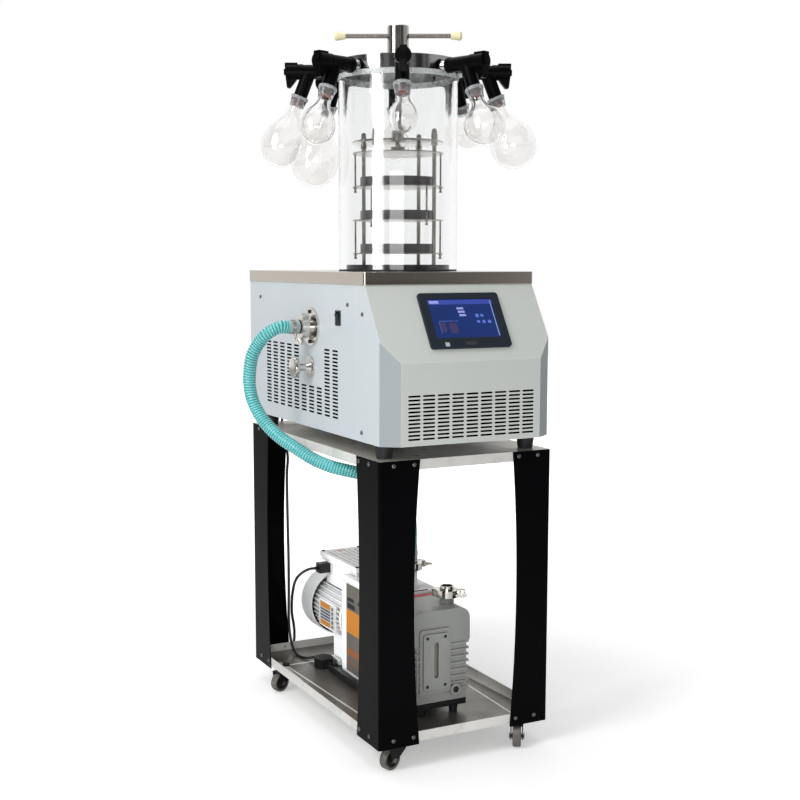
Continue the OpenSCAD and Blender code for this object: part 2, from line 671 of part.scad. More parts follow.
// ---------------------------------------------------------------- cold trap and refrigeration
trap_z = deck - 178;
coil_r = 4;
ring_t = 14;
ring_r = 115;
ring_bore = 80;
module cold_trap() color([0.62, 0.62, 0.6]) translate([0, chamber_y, 0]) {
    difference() {
        union() {
            translate([0, 0, trap_z]) cylinder(r = trap_r, h = deck + 2 - trap_z);
            translate([0, 0, deck]) cylinder(r = trap_flange_r, h = 2);
        }
        translate([0, 0, trap_z + 1.5]) cylinder(r = trap_r - 1.5, h = deck - trap_z + 4);
    }
    for (i = [0 : 7]) translate([0, 0, trap_z + 20 + 14 * i]) rotate_extrude()
        translate([trap_r + coil_r - 0.5, 0]) circle(r = coil_r, $fn = 24);
}
module trap_ring() color([0.12, 0.12, 0.12]) translate([0, chamber_y, deck]) difference() {
    tube(ring_r, ring_bore, ring_t);
    translate([0, 0, -cut]) cylinder(r = trap_flange_r + loose, h = 2 + cut);
    for (a = rod_angles) rotate(a) translate([rod_ring_r, 0, seal_t]) cylinder(r = rod_r + run,
        h = ring_t);
}
fan_y = -275;
fan_z = case_z + 78;
fan_shaft_r = 4;
module condensing_unit() color([0.3, 0.31, 0.33]) {
    z0 = case_z + case_sheet;
    can = [40, 190];
    translate([-120, fan_y + 20, z0]) cube([240, can[1] - fan_y, 2]);
    // compressor on its three legs
    translate([can[0], can[1], z0 + 12]) rotate_extrude()
        polygon(concat([[0, 0], [60, 0]], arc([60, 5], 5, -90, 0, 4), [[65, 122]],
            arc([40, 122], 25, 0, 90, 8), [[0, 147]]));
    for (a = [30, 150, 270]) rotate(0) translate([can[0] + 45 * cos(a), can[1] + 45 * sin(a), z0 + 1])
        cylinder(r = 8, h = 14);
    // finned condenser with its cowl and the fan motor on a stand
    for (i = [0 : 23]) translate([-140 + 12 * i, fan_y - 55, z0]) cube([2, 38, 140]);
    for (j = [0 : 4]) translate([-144, fan_y - 45, z0 + 14 + 28 * j]) along_x() cylinder(r = 5, h = 286);
    difference() {
        translate([-144, fan_y - 18, z0]) cube([286, 30, 144]);
        translate([-140, fan_y - 16, z0 + 4]) cube([278, 30, 136]);
        translate([0, fan_y, fan_z]) along_minus_y() cylinder(r = 64, h = 30);
    }
    translate([0, fan_y + 45, fan_z]) along_minus_y() cylinder(r = 25, h = 30);
    translate([-10, fan_y + 18, z0]) cube([20, 24, fan_z - z0]);
    translate([0, fan_y + 45, fan_z]) along_minus_y() cylinder(r = fan_shaft_r, h = 55);
}
module condenser_fan() color([0.5, 0.5, 0.5]) translate([0, fan_y, fan_z]) along_minus_y() difference() {
    union() {
        translate([0, 0, -10]) cylinder(r = 18, h = 18);
        for (i = [0 : 4]) rotate(72 * i) translate([15, 0, -1]) rotate([28, 0, 0])
            translate([0, -12, -0.8]) cube([42, 24, 1.6]);
    }
    translate([0, 0, -11]) cylinder(r = fan_shaft_r + run, h = 20);
}

// ---------------------------------------------------------------- shelf rack
shelf_t = 2;
shelf_levels = [for (i = [0 : 3]) deck + 259 - shelf_gap * i];
cross_z = deck + 280;
cross_t = 4;
nut_h = 24;
press_r = 6;
press_seat_z = shelf_levels[0] + 4;
rod_angles = [for (i = [0 : 3]) -59 + 90 * i];
hanger_r = 2;
hanger_ring_r = 95;
hanger_tail = 8;
// angles of the two hangers below the shelves 1 to 3
hanger_angles = [[-27, 153], [-77, 103], [-27, 153]];
module rack_frame() color([0.72, 0.7, 0.66]) translate([0, chamber_y, 0]) difference() {
    union() {
        for (a = rod_angles) rotate(a) translate([rod_ring_r, 0, 0]) {
            translate([0, 0, cylinder_z]) cylinder(r = rod_r, h = cross_z - cylinder_z + cut);
            translate([0, 0, cross_z + cross_t - cut]) cylinder(r = 7.5, h = nut_h * 0.6, $fn = 6);
            translate([0, 0, cross_z + cross_t]) cylinder(r = 6, h = nut_h - 5);
            translate([0, 0, cross_z + cross_t + nut_h - 5]) sphere(r = 6);
            translate([0, 0, cross_z - 8]) cylinder(r = 7.5, h = 8 + cut, $fn = 6);
        }
        translate([0, 0, cross_z]) cylinder(r = shelf_r, h = cross_t);
        translate([0, 0, cross_z + cut]) cylinder(r = 14, h = cross_t + nut_h - cut);
    }
    translate([0, 0, cross_z - cut]) cylinder(r = press_r + run, h = 60);
}
module rack_shelves() color([0.66, 0.66, 0.64]) translate([0, chamber_y, 0]) {
    for (i = [0 : 3]) difference() {
        union() {
            translate([0, 0, shelf_levels[i] - shelf_t]) cylinder(r = shelf_r, h = shelf_t);
            if (i == 0) translate([0, 0, shelf_levels[0] - cut]) cylinder(r = 16, h = 14 + cut);
            if (i < 3) for (a = hanger_angles[i]) rotate(a)
                translate([hanger_ring_r, 0, shelf_levels[i + 1]]) {
                translate([0, 0, -shelf_t - hanger_tail])
                    cylinder(r = hanger_r, h = shelf_gap + hanger_tail + cut);
                translate([0, 0, -shelf_t - 3]) cylinder(r = 4, h = 3);
                translate([0, 0, -shelf_t - hanger_tail - 3]) cylinder(r = 3.5, h = 4);
            }
        }
        for (a = rod_angles) rotate(a) translate([rod_ring_r, 0, shelf_levels[i] - shelf_t - cut])
            cylinder(r = rod_r + loose, h = shelf_t + 2 * cut);
        if (i > 0) for (a = hanger_angles[i - 1]) rotate(a)
            translate([hanger_ring_r, 0, shelf_levels[i] - shelf_t - cut]) cylinder(r = hanger_r + 0.3,
                h = shelf_t + 2 * cut);
        if (i == 0) translate([0, 0, press_seat_z]) cylinder(r = press_r + run, h = 30);
    }
}
module rack_trays() color([0.3, 0.3, 0.31]) for (i = [1 : 3])
    translate([0, chamber_y, shelf_levels[i]]) difference() {
    cylinder(r = pan_r, h = pan_h);
    translate([0, 0, 1]) cylinder(r = pan_r - 1, h = pan_h);
}

// ---------------------------------------------------------------- chamber
module chamber_seals() color([0.05, 0.05, 0.05]) for (z = [deck, lid_seal_z])
    translate([0, chamber_y, z]) tube(chamber_r, chamber_r - chamber_wall - 1.5, seal_t);
module chamber_cylinder() color([0.9, 0.93, 0.95]) translate([0, chamber_y, cylinder_z])
    tube(chamber_r, chamber_r - chamber_wall, chamber_h);
port_angles = [for (i = [0 : ports - 1]) port_turn + 360 / ports * i];
module at_port(i) translate([0, chamber_y, port_z]) rotate(port_angles[i]) along_x() children();
nipple_r = 9;
nipple_end = chamber_r + 24;
lid_plate = 8;
gland_r = 15;
gland_h = 18;
// face on which a nipple's flare stands
port_face = chamber_r + 0.7;
flare_l = 12.3;
module manifold_lid() color([0.75, 0.73, 0.69]) difference() {
    union() {
        translate([0, chamber_y, lid_z]) cylinder(r = chamber_r + 1, h = lid_top - lid_z);
        translate([0, chamber_y, lid_top - cut]) cylinder(r = gland_r, h = gland_h + cut);
        for (i = [0 : ports - 1]) at_port(i) {
            translate([0, 0, chamber_r + 0.5]) cylinder(r = nipple_r, h = nipple_end - chamber_r - 0.5);
            translate([0, 0, port_face]) cylinder(r1 = nipple_r + 4, r2 = nipple_r, h = flare_l);
        }
    }
    translate([0, chamber_y, lid_z - cut]) cylinder(r = chamber_r - chamber_wall,
        h = lid_top - lid_plate - lid_z + cut);
    translate([0, chamber_y, lid_z]) cylinder(r = press_r + run, h = 80);
    for (i = [0 : ports - 1]) at_port(i) cylinder(r = 5, h = nipple_end + 1);
}

// ---------------------------------------------------------------- press handle
bar_turn = -27;
bar_l = 281;
bar_r = 5;
bar_z = lid_top + 56;
cap_l = 25;
sleeve_r = 24;
// the sleeve's skirt slides over the gland and stops just clear of the lid
sleeve_z = lid_top + press_travel + 1.5;
sleeve_top = lid_top + 77;
skirt_bore = gland_r + 1;
skirt_l = gland_h + 4;
module press_handle() color([0.62, 0.6, 0.56]) translate([0, chamber_y, 0]) {
    translate([0, 0, press_seat_z]) cylinder(r = press_r, h = sleeve_z + skirt_l - press_seat_z + cut);
    rotate_extrude() polygon(concat(
        [[0, sleeve_z + skirt_l], [skirt_bore, sleeve_z + skirt_l], [skirt_bore, sleeve_z]],
        arc([sleeve_r - 1.5, sleeve_z + 1.5], 1.5, -90, 0, 4),
        arc([sleeve_r - 2, sleeve_top - 2], 2, 0, 90, 4), [[0, sleeve_top]]));
    translate([0, 0, bar_z]) rotate(bar_turn) {
        translate([-bar_l / 2 + 4, 0, 0]) along_x() cylinder(r = bar_r, h = bar_l - 8);
        for (s = [0, 1]) mirror([s, 0, 0]) translate([bar_l / 2 - cap_l, 0, 0]) along_x() rotate_extrude()
            polygon(concat([[0, 0], [7, 0], [10, cap_l - 6]], arc([4, cap_l - 6], 6, 0, 90, 6),
                [[0, cap_l]]));
    }
}

// ---------------------------------------------------------------- port valves and flasks
valve_r = 15.5;
valve_start = chamber_r + 14;
valve_end = chamber_r + 87;
branch_at = chamber_r + 63;
branch_r = 15;
branch_l = 57;
stub_r = 8;
stub_end = branch_l + 10;
stem_r = 6;
stem_l = 10;
passage_r = 3.5;
// hangs a child on the valve's lower branch: Z runs out along it
module at_branch(i) at_port(i) translate([0, 0, branch_at]) rotate([0, 90 - flask_tilt, 0]) children();
module valve_bodies() color([0.06, 0.06, 0.06]) for (i = [0 : ports - 1]) difference() {
    union() {
        at_port(i) translate([0, 0, valve_start]) {
            cylinder(r = valve_r, h = valve_end - valve_start);
            cylinder(r = valve_r + 1.2, h = 8);
            translate([0, 0, valve_end - valve_start - 10]) cylinder(r = valve_r + 1.2, h = 10);
        }
        at_branch(i) {
            cylinder(r = branch_r, h = branch_l);
            cylinder(r = stub_r, h = stub_end);
        }
    }
    at_port(i) {
        translate([0, 0, valve_start - cut]) cylinder(r = nipple_r + 0.1,
            h = nipple_end - valve_start + 2 * cut);
        translate([0, 0, valve_end - stem_l - 1]) cylinder(r = stem_r + run, h = stem_l + 1 + cut);
        translate([0, 0, nipple_end]) cylinder(r = passage_r + 1,
            h = branch_at - nipple_end + 2 * passage_r);
    }
    at_branch(i) cylinder(r = passage_r, h = stub_end + cut);
}
lever_w = 16;
hub_r = 17;
hub_l = 27;
// a lever's hub with its pivot screw, and the wedge-shaped grip that hangs from it at rest
module valve_lever(i) color([0.07, 0.07, 0.07]) at_port(i) translate([0, 0, valve_end + 0.3]) {
    translate([0, 0, -stem_l]) cylinder(r = stem_r, h = stem_l + cut);
    cylinder(r = hub_r, h = hub_l);
    cylinder(r = 7, h = hub_l + 5);
    translate([0, lever_w / 2, 0]) along_minus_y() linear_extrude(lever_w)
        polygon([[-19, 2], [-19, 29], [-17, 30], [10, 28.5], [33, 25.5], [34.5, 24], [34.5, 18],
            [33, 16.5],
            [21, 6.5], [14, 2]]);
}
collar_r = 20;
neck_r = 14;
flask_t = 2;
collar_end = branch_l + 24;
module flask_collars() color([0.85, 0.85, 0.82]) for (i = [0 : ports - 1]) at_branch(i) difference() {
    translate([0, 0, branch_l]) cylinder(r = collar_r, h = collar_end - branch_l);
    translate([0, 0, branch_l + 3]) cylinder(r = neck_r + 0.3, h = 30);
    translate([0, 0, branch_l - cut]) cylinder(r = stub_r + 0.1, h = 6);
}
// half width of each bulb and how far its middle hangs below the valve, port by port
bulbs = [[30, 134], [44.5, 140], [51, 169], [34.5, 128], [40, 146], [55, 198], [46, 172], [38, 146]];
neck_end = branch_l + 28;
function flask_side(r, bulb_r, l) = concat([[r, branch_l + 3], [r, neck_end]],
    bezier([r, neck_end], [r, neck_end + 0.45 * (l - neck_end)], [bulb_r, l - 0.55 * (l - neck_end)],
        [bulb_r, l], 8),
    arc([0, l], bulb_r, 0, 90, 8));
function reversed(p) = [for (i = [len(p) - 1 : -1 : 0]) p[i]];
module flask(bulb_r, l) rotate_extrude() polygon(concat(flask_side(neck_r, bulb_r, l),
    reversed(flask_side(neck_r - flask_t, bulb_r - flask_t, l))));
module flasks() color([0.88, 0.9, 0.9]) for (i = [0 : ports - 1]) at_branch(i)
    flask(bulbs[i % 8][0], bulbs[i % 8][1]);

// ---------------------------------------------------------------- vacuum pump
block_w = pump_w;
block_y = oil_front_y + oil_l;
block_end = block_y + block_l;
motor_z = pump_floor + 121;
foot_pad_h = 4;
base_t = 3.5;
module pump_base() color([0.08, 0.08, 0.08]) {
    translate([pump_x - 65, oil_front_y + 3, oil_z - 15]) cube([128, 40, 15]);
    for (x = [-41, 39]) translate([pump_x + x, oil_front_y + 18, tray_top])
        cylinder(r1 = 9, r2 = 11, h = oil_z - 15 - tray_top + cut);
    translate([pump_x - 101, -60, tray_top + foot_pad_h]) cube([200, 200, base_t]);
    for (x = [-101, 99 - 3]) translate([pump_x + x, -60, tray_top + foot_pad_h]) cube([3, 200, 15]);
    for (x = [-85, 83], y = [-40, 120]) translate([pump_x + x, y, tray_top])
        cylinder(r = 12, h = foot_pad_h + cut);
    for (x = [-50, 50]) translate([pump_x + x, block_end + 65, tray_top]) cylinder(r = 10, h = foot_pad_h);
}
fin_pitch = 14.5;
fin_z0 = oil_z + 22;
sight_at = [pump_x - 18, oil_z + 94];
sight_pad = [76, 143, 4];
sight_w = 62;
sight_h = 124;
sight_t = 8;
sight_slot = [11, 80];
// places of the sight frame's screws from its middle
sight_screws = [for (x = [-1, 1], z = [-1, 1]) [x * (sight_w / 2 - 9), z * (sight_h / 2 - 8)]];
drain_plug_at = [pump_x + 32, oil_z + 24];
oil_core = 9;
module pump_oil_box() color([0.78, 0.78, 0.76]) difference() {
    x0 = pump_x - pump_w / 2;
    fin_top = fin_z0 + fin_pitch * oil_fins;
    union() {
        translate([0, oil_front_y + oil_l, 0]) along_minus_y() linear_extrude(oil_l) polygon(concat(
            [[x0, fin_top - 6], [x0 + oil_core, fin_top - 14], [x0 + oil_core, oil_z]],
            [[x0 + pump_w - oil_core, oil_z], [x0 + pump_w - oil_core, fin_top - 14], [x0 + pump_w,
                fin_top - 6]],
            arc([x0 + pump_w - 25, oil_top - 25], 25, 0, 90, 8), arc([x0 + 25, oil_top - 25], 25, 90,
                180, 8)));
        for (i = [0 : oil_fins - 1]) translate([x0, oil_front_y + 4, fin_z0 + fin_pitch * i])
            cube([pump_w, oil_l - 24, 4.5]);
        for (i = [0 : oil_fins - 1]) translate([x0 + oil_core + 2, oil_front_y - 3,
            fin_z0 + fin_pitch * i])
            cube([pump_w - 2 * oil_core - 4, 8, 4.5]);
        translate([exhaust_at[0], exhaust_at[1], oil_top - cut])
            kf_stub(16, port_bore_r, exhaust_kf_z - oil_top + cut);
        translate([sight_at[0], oil_front_y + cut, sight_at[1]]) along_minus_y() {
            rounded_plate(sight_pad[0], sight_pad[1], 7, sight_pad[2] + cut);
            rounded_plate(sight_w, sight_h, 6, sight_t + cut);
        }
        translate([drain_plug_at[0], oil_front_y + cut, drain_plug_at[1]]) along_minus_y()
            cylinder(r = 13, h = 8);
    }
    translate([exhaust_at[0], exhaust_at[1], oil_top - exhaust_bore]) cylinder(r = port_bore_r, h = 120);
    translate([sight_at[0], oil_front_y + 2, sight_at[1] + 3]) along_minus_y() linear_extrude(20)
        rounded_rect(sight_slot[0], sight_slot[1], 5);
    for (p = sight_screws) translate([sight_at[0] + p[0], oil_front_y + cut, sight_at[1] + p[1]])
        along_minus_y() cylinder(r = 4, h = 20);
    translate([drain_plug_at[0], oil_front_y - 3, drain_plug_at[1]]) along_minus_y()
        cylinder(r = 8, h = 9, $fn = 6);
}
module pump_sight_glass() color([0.35, 0.38, 0.3]) {
    translate([sight_at[0], oil_front_y + 2, sight_at[1] + 3]) along_minus_y() linear_extrude(5)
        rounded_rect(sight_slot[0], sight_slot[1], 5);
    for (p = sight_screws) translate([sight_at[0] + p[0], oil_front_y + cut, sight_at[1] + p[1]])
        along_minus_y() cylinder(r = 4, h = sight_t);
}
board_t = 2;
module pump_block() color([0.86, 0.86, 0.85]) difference() {
    x0 = pump_x - block_w / 2;
    union() {
        translate([x0, block_y, pump_floor]) cube([block_w, block_l, block_top - pump_floor]);
        translate([x0 - board_t, block_y + 6, pump_floor])
            cube([board_t + cut, block_l - 6, block_top - pump_floor - 12]);
        translate([inlet_at[0] - 28, inlet_at[1] - 18, block_top - cut])
            cube([60, 50, inlet_base_h + cut]);
        translate([inlet_at[0], inlet_at[1], block_top + inlet_base_h - cut])
            kf_stub(port_pipe_r, port_bore_r, inlet_stub_l + cut);
    }
    translate([inlet_at[0], inlet_at[1], block_top - 60]) cylinder(r = port_bore_r, h = 160);
    for (s = [-1, 1]) translate([pump_x + s * (block_w / 2 - 5), block_end - 70, pump_floor + 40])
        translate([-6, 0, 0]) cube([12, 71, 30]);
}
motor_r = 68;
motor_fins = 40;
fin_h = 7;
cowl_l = 62;
// the cowl is open at its front, round the motor's fins
cowl_gap_l = 16;
// a flat cast pad for the rating plate: across, down and along the motor
plate_pad = [[-76, -27, 30], [27, 65, 97]];
module pump_motor() color([0.9, 0.9, 0.89]) translate([pump_x, block_end, motor_z]) along_y() {
    cowl_z = motor_l - cowl_l;
    foot_top = motor_z - tray_top - foot_pad_h;
    cylinder(r = motor_r, h = cowl_z + cowl_gap_l + cut);
    for (i = [0 : motor_fins - 1]) rotate(360 / motor_fins * (i + 0.5)) translate([motor_r - 3, -1.2, 0])
        cube([fin_h + 3, 2.4, cowl_z + cowl_gap_l / 2]);
    cylinder(r = motor_r + fin_h + 1, h = 8);
    translate(plate_pad[0]) cube(plate_pad[1]);
    difference() {
        translate([0, 0, cowl_z]) cylinder(r = cowl_r, h = cowl_l);
        translate([0, 0, cowl_z - cut]) cylinder(r = cowl_r - 3, h = cowl_gap_l + cut);
        for (a = [0 : 30 : 330], r = [26, 46]) rotate(a + r) translate([r, 0, motor_l - 6])
            cylinder(r = 5, h = 8);
    }
    for (x = [-1, 1]) translate([x * 50 - 12, foot_top - 12, 40]) cube([24, 12, 50]);
    for (x = [-1, 1]) translate([x * 50 - 3, 40, 40]) cube([6, foot_top - 42, 50]);
}
box_x = [-50, 60];
box_y = [80, 292];
box_top = pump_floor + 257;
lid_t = 12;
module pump_terminal_box() color([0.9, 0.9, 0.88]) difference() {
    x0 = pump_x + box_x[0] - 3;
    w = box_x[1] - box_x[0];
    l = box_y[1] - box_y[0];
    union() {
        translate([x0 + 3, box_y[0] + 3, block_top]) cube([w - 6, l - 6, box_top - block_top - 2]);
        translate([x0, box_y[0], box_top - lid_t]) cube([w, l, lid_t]);
        translate([x0 + 8, block_end + 10, motor_z + 40])
            cube([w - 16, motor_l - cowl_l - 24, block_top - motor_z - 39]);
        translate([socket_x, socket_y - 16, socket_z - 14]) cube([8, 32, 26]);
    }
    for (i = [0 : 6]) translate([x0 + 12 + 14 * i, box_y[0] + 22, box_top - 1.5]) cube([4, l - 44, 3]);
    translate([pump_x, block_end, motor_z]) along_y() {
        cylinder(r = motor_r + fin_h + loose, h = motor_l - cowl_l);
        translate([0, 0, -cut]) cylinder(r = motor_r + fin_h + 1 + loose, h = 10);
        translate([0, 0, motor_l - cowl_l - loose]) cylinder(r = cowl_r + loose, h = 90);
    }
}

// ---------------------------------------------------------------- hose and leads
hose_r = 15;
hose_start = [kf_x - nozzle_l, vacuum_at[0], vacuum_at[1]];
hose_end = [inlet_at[0], inlet_at[1], inlet_kf_z + inlet_nozzle_l];
// the upper half is placed from the vacuum port, the lower half from the pump's inlet
hose_upper = [[-22, 0, 0], [-48, 9, -15], [-62, 25, -38], [-71, 35, -62], [-75, 42, -90], [-75, 47, -123],
    [-70, 44, -157], [-60, 33, -188], [-46, 13, -216], [-28, -15, -240], [-6, -48, -260], [20, -81, -281]];
hose_lower = [[-218, -42, 206], [-185, -64, 197], [-150, -78, 188], [-116, -80, 174], [-84, -73, 156],
    [-56, -59, 133], [-33, -41, 106], [-16, -23, 76], [-5, -8, 44], [0, 0, 16]];
module vacuum_hose() color([0.25, 0.6, 0.58]) cord(concat([hose_start], [for (p = hose_upper)
    hose_start + p],
    [for (p = hose_lower) hose_end + p], [hose_end]), hose_r, 12);

socket_y = box_y[1] - 40;
socket_z = block_top - 12.5;
socket_x = pump_x + box_x[0] + 2;
plug_l = 36;
module pump_connector() color([0.05, 0.05, 0.05]) translate([socket_x, socket_y, socket_z])
    along_minus_x() {
    linear_extrude(29) square([24, 24], center = true);
    cylinder(r1 = 7, r2 = 4.5, h = plug_l);
}
pump_lead_points = [[-14, 0, 0], [-30, 1, -5], [-44, 6, -17], [-49, 16, -34], [-48, 30, -57],
    [-44, 48, -87],
    [-36, 68, -127], [-24, 86, -162], [-16, 101, -188], [-13, 111, -214], [-16, 118, -237],
        [-28, 124, -254],
    [-45, 128, -261], [-63, 130, -257], [-77, 131, -242], [-85, 131, -217], [-89, 130, -172]];
pump_lead_back = [[-20, 3, -492], [-19, 3, -342], [-17, 2, -202], [-12, 6, -102], [-5, 17, -47],
    [-1, 23, -22],
    [0, 19, -4], [0, 10, 0]];
module pump_lead() color([0.06, 0.06, 0.06]) {
    from = [socket_x - plug_l, socket_y, socket_z];
    to = [gland_places[0][0], rear_y + gland_l - 2, gland_places[0][1]];
    cord(concat([from], [for (p = pump_lead_points) from + p], [for (p = pump_lead_back) to + p],
        [to]), lead_r, 8);
}
plug_h = 24;
mains_plug_at = [-90, 218, 72];
mains_lead_top = [[0, 11, 0], [0, 22, -6], [-1, 27, -24], [-2, 25, -52], [-3, 17, -92], [-4, 3, -127],
    [-5, -15, -156],
    [-8, -32, -184], [-14, -41, -212], [-16, -44, -242], [-16, -45, -302]];
mains_lead_low = [[-30, 116, 298], [-29, 116, 228], [-29, 116, 148], [-30, 116, 78], [-29, 113, 40],
    [-28, 102, 11],
    [-27, 85, -5], [-26, 67, -9], [-23, 48, -9], [-15, 32, -8], [-6, 20, -4], [-1, 10, -1]];
module mains_lead() color([0.06, 0.06, 0.06]) {
    from = [gland_places[1][0], rear_y + gland_l - 2, gland_places[1][1]];
    cord(concat([from], [for (p = mains_lead_top) from + p], [for (p = mains_lead_low) mains_plug_at + p],
        [mains_plug_at]), lead_r, 8);
}
module mains_plug() color([0.05, 0.05, 0.05]) translate(mains_plug_at) along_minus_y() {
    cylinder(r1 = 4.5, r2 = 7, h = 14);
    translate([0, plug_h + tray_top - mains_plug_at[2], 10]) along_minus_y() linear_extrude(plug_h)
        polygon([[-10, 0], [10, 0], [22, 16], [22, 34], [14, 48], [-14, 48], [-22, 34], [-22, 16]]);
    for (x = [-8, 8]) translate([x - 1, -3, 57]) cube([2, 6, 18]);
    translate([-3, 5, 57]) cube([6, 2, 18]);
}

trolley_trays();
trolley_legs();
pan_screws();
castor_at(castors[0]) castor_fork();  // castor_fork_fl
castor_at(castors[1]) castor_fork();  // castor_fork_fr
castor_at(castors[2]) castor_fork();  // castor_fork_bl
castor_at(castors[3]) castor_fork();  // castor_fork_br
castor_at(castors[0]) castor_wheel();  // castor_wheel_fl
castor_at(castors[1]) castor_wheel();  // castor_wheel_fr
castor_at(castors[2]) castor_wheel();  // castor_wheel_bl
castor_at(castors[3]) castor_wheel();  // castor_wheel_br
chassis();
side_panel_left();
side_panel_right();
front_shell();
worktop();
machine_feet();
hmi_bezel();
hmi_screen();
switch_frame();
power_rocker();
vacuum_flange();
hose_nozzles();
kf_clamps();
drain_valve();
drain_knob();
rear_glands();
cold_trap();
condensing_unit();
condenser_fan();
trap_ring();
rack_frame();
rack_shelves();
rack_trays();
chamber_seals();
chamber_cylinder();
manifold_lid();
press_handle();
valve_bodies();
valve_lever(0);  // valve_lever_1
valve_lever(1);  // valve_lever_2
valve_lever(2);  // valve_lever_3
valve_lever(3);  // valve_lever_4
valve_lever(4);  // valve_lever_5
valve_lever(5);  // valve_lever_6
valve_lever(6);  // valve_lever_7
valve_lever(7);  // valve_lever_8
flask_collars();
flasks();
pump_base();
pump_oil_box();
pump_sight_glass();
pump_block();
pump_motor();
pump_terminal_box();
vacuum_hose();
pump_lead();
pump_connector();
mains_lead();
mains_plug();
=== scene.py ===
import math
import random
import bpy
import bmesh
from mathutils import Matrix, Vector


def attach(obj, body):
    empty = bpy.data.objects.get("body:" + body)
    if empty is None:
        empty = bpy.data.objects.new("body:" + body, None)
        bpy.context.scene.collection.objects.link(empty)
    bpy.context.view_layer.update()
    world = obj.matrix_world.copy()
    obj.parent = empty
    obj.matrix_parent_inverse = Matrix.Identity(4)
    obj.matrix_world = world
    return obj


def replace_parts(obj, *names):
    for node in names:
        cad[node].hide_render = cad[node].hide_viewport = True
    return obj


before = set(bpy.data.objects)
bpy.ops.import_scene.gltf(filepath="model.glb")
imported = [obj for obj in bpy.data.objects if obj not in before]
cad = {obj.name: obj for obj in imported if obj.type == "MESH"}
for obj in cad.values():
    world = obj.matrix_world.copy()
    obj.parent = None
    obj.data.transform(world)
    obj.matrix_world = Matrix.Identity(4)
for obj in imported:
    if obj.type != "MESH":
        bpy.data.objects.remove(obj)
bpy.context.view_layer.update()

scene = bpy.context.scene

# ---- Studio ------------------------
# The freeze dryer stands on a seamless pale floor and is seen from the operator's left, at about the
# height of its worktop. Wide soft lamps stand at its left and front left, and one hangs overhead.
look_down, look_right = 7.074, 26.675
camera = bpy.data.objects.new("camera", bpy.data.cameras.new("camera"))
camera.location = (-1.317, -2.58, 1.051)
camera.rotation_euler = (math.radians(90 - look_down), 0, math.radians(-look_right))
camera.data.sensor_width = 36
camera.data.lens = 56.98
camera.data.shift_x = 0.0221
camera.data.shift_y = 0.0223
scene.collection.objects.link(camera)
scene.camera = camera
scene.view_settings.view_transform = "Standard"


# a soft lamp at a place, turned to its aim; power in watts
def soft_lamp(name, place, aim, width, height, power):
    lamp = bpy.data.lights.new(name, "AREA")
    lamp.shape = "RECTANGLE"
    lamp.size = width
    lamp.size_y = height
    lamp.energy = power
    lamp_object = bpy.data.objects.new(name, lamp)
    lamp_object.location = place
    aimed = Vector(aim) - Vector(place)
    lamp_object.rotation_euler = aimed.to_track_quat("-Z", "Y").to_euler()
    lamp_object.visible_camera = False
    lamp_object.visible_transmission = False
    scene.collection.objects.link(lamp_object)
    return lamp_object


# a lamp that reaches only the pieces in its own collection
def lamp_only_for(lamp_object, name):
    lamp_object.light_linking.receiver_collection = bpy.data.collections.new(name)
    return lamp_object.light_linking.receiver_collection


# a node whose inputs take numbers, colours or other nodes' outputs
def wired(tree, kind, inputs, **settings):
    node = tree.nodes.new("ShaderNode" + kind)
    for name, value in settings.items():
        setattr(node, name, value)
    for key, value in inputs.items():
        if isinstance(value, bpy.types.NodeSocket):
            tree.links.new(value, node.inputs[key])
        else:
            node.inputs[key].default_value = value
    return node


soft_lamp("key_softbox", (-3.0, -0.9, 2.7), (0, 0, 0.8), 1.4, 2.0, 68)
soft_lamp("front_softbox", (-1.9, -3.4, 0.9), (0, 0, 0.7), 1.8, 1.2, 50)
soft_lamp("top_softbox", (-0.2, 0.3, 3.6), (0, 0, 0.8), 2.2, 2.2, 36)
# a tall window of light that only the clear pieces show: a streak down the cylinder and on the flasks
window = soft_lamp("tall_window", (-2.4, -0.96, 1.5), (0, -0.036, 1.35), 1.55, 2.3, 270)
window.visible_diffuse = False
window.data.use_nodes = True
clear_pieces = lamp_only_for(window, "clear_pieces")
pane = window.data.node_tree
pane_place = wired(pane, "SeparateXYZ", {0: wired(pane, "NewGeometry", {}).outputs["Parametric"]})
pane_shape = wired(pane, "ValToRGB", {"Fac": pane_place.outputs["X"]})
pane_stops = pane_shape.color_ramp.elements
for stop, level in zip(pane_stops, (0.02, 0.03)):
    stop.color = (level, level, level, 1)
for place, level in ((0.26, 0.06), (0.32, 1.0), (0.8, 1.0), (0.97, 0.12)):
    pane_stops.new(place).color = (level, level, level, 1)
pane.links.new(pane_shape.outputs["Color"], pane.nodes["Emission"].inputs["Color"])
# a low lamp at the left that reaches the pump between the legs
pump_pieces = lamp_only_for(soft_lamp("pump_softbox", (-2.2, 0.35, 0.55), (0, 0.12, 0.2), 1.0, 0.7, 28),
    "pump_pieces")

# The room is white to the eye and through glass. In gloss it is white behind the machine, half as bright
# overhead and at the right, and falls off in soft upright bands where the operator stands.
world = bpy.data.worlds.new("studio_room")
scene.world = world
world.use_nodes = True
room = world.node_tree
room_light = room.nodes["Background"]
room_light.inputs["Color"].default_value = (1, 1, 1, 1)
heading = wired(room, "TexCoord", {}).outputs["Generated"]


def room_range(value, from_low, from_high, low, high):
    limits = {"Value": value, "From Min": from_low, "From Max": from_high, "To Min": low, "To Max": high}
    return wired(room, "MapRange", limits, interpolation_type="SMOOTHSTEP").outputs["Result"]


def room_math(kind, a, b):
    return wired(room, "Math", {0: a, 1: b}, operation=kind).outputs[0]


def room_toward(direction):
    return wired(room, "VectorMath", {0: heading, 1: direction}, operation="DOT_PRODUCT").outputs["Value"]


def all_but(share):
    return room_math("SUBTRACT", 1.0, share)


# from low to high as the share goes from 0 to 1
def room_between(low, high, share):
    return room_math("ADD", room_math("MULTIPLY", room_math("SUBTRACT", high, low), share), low)


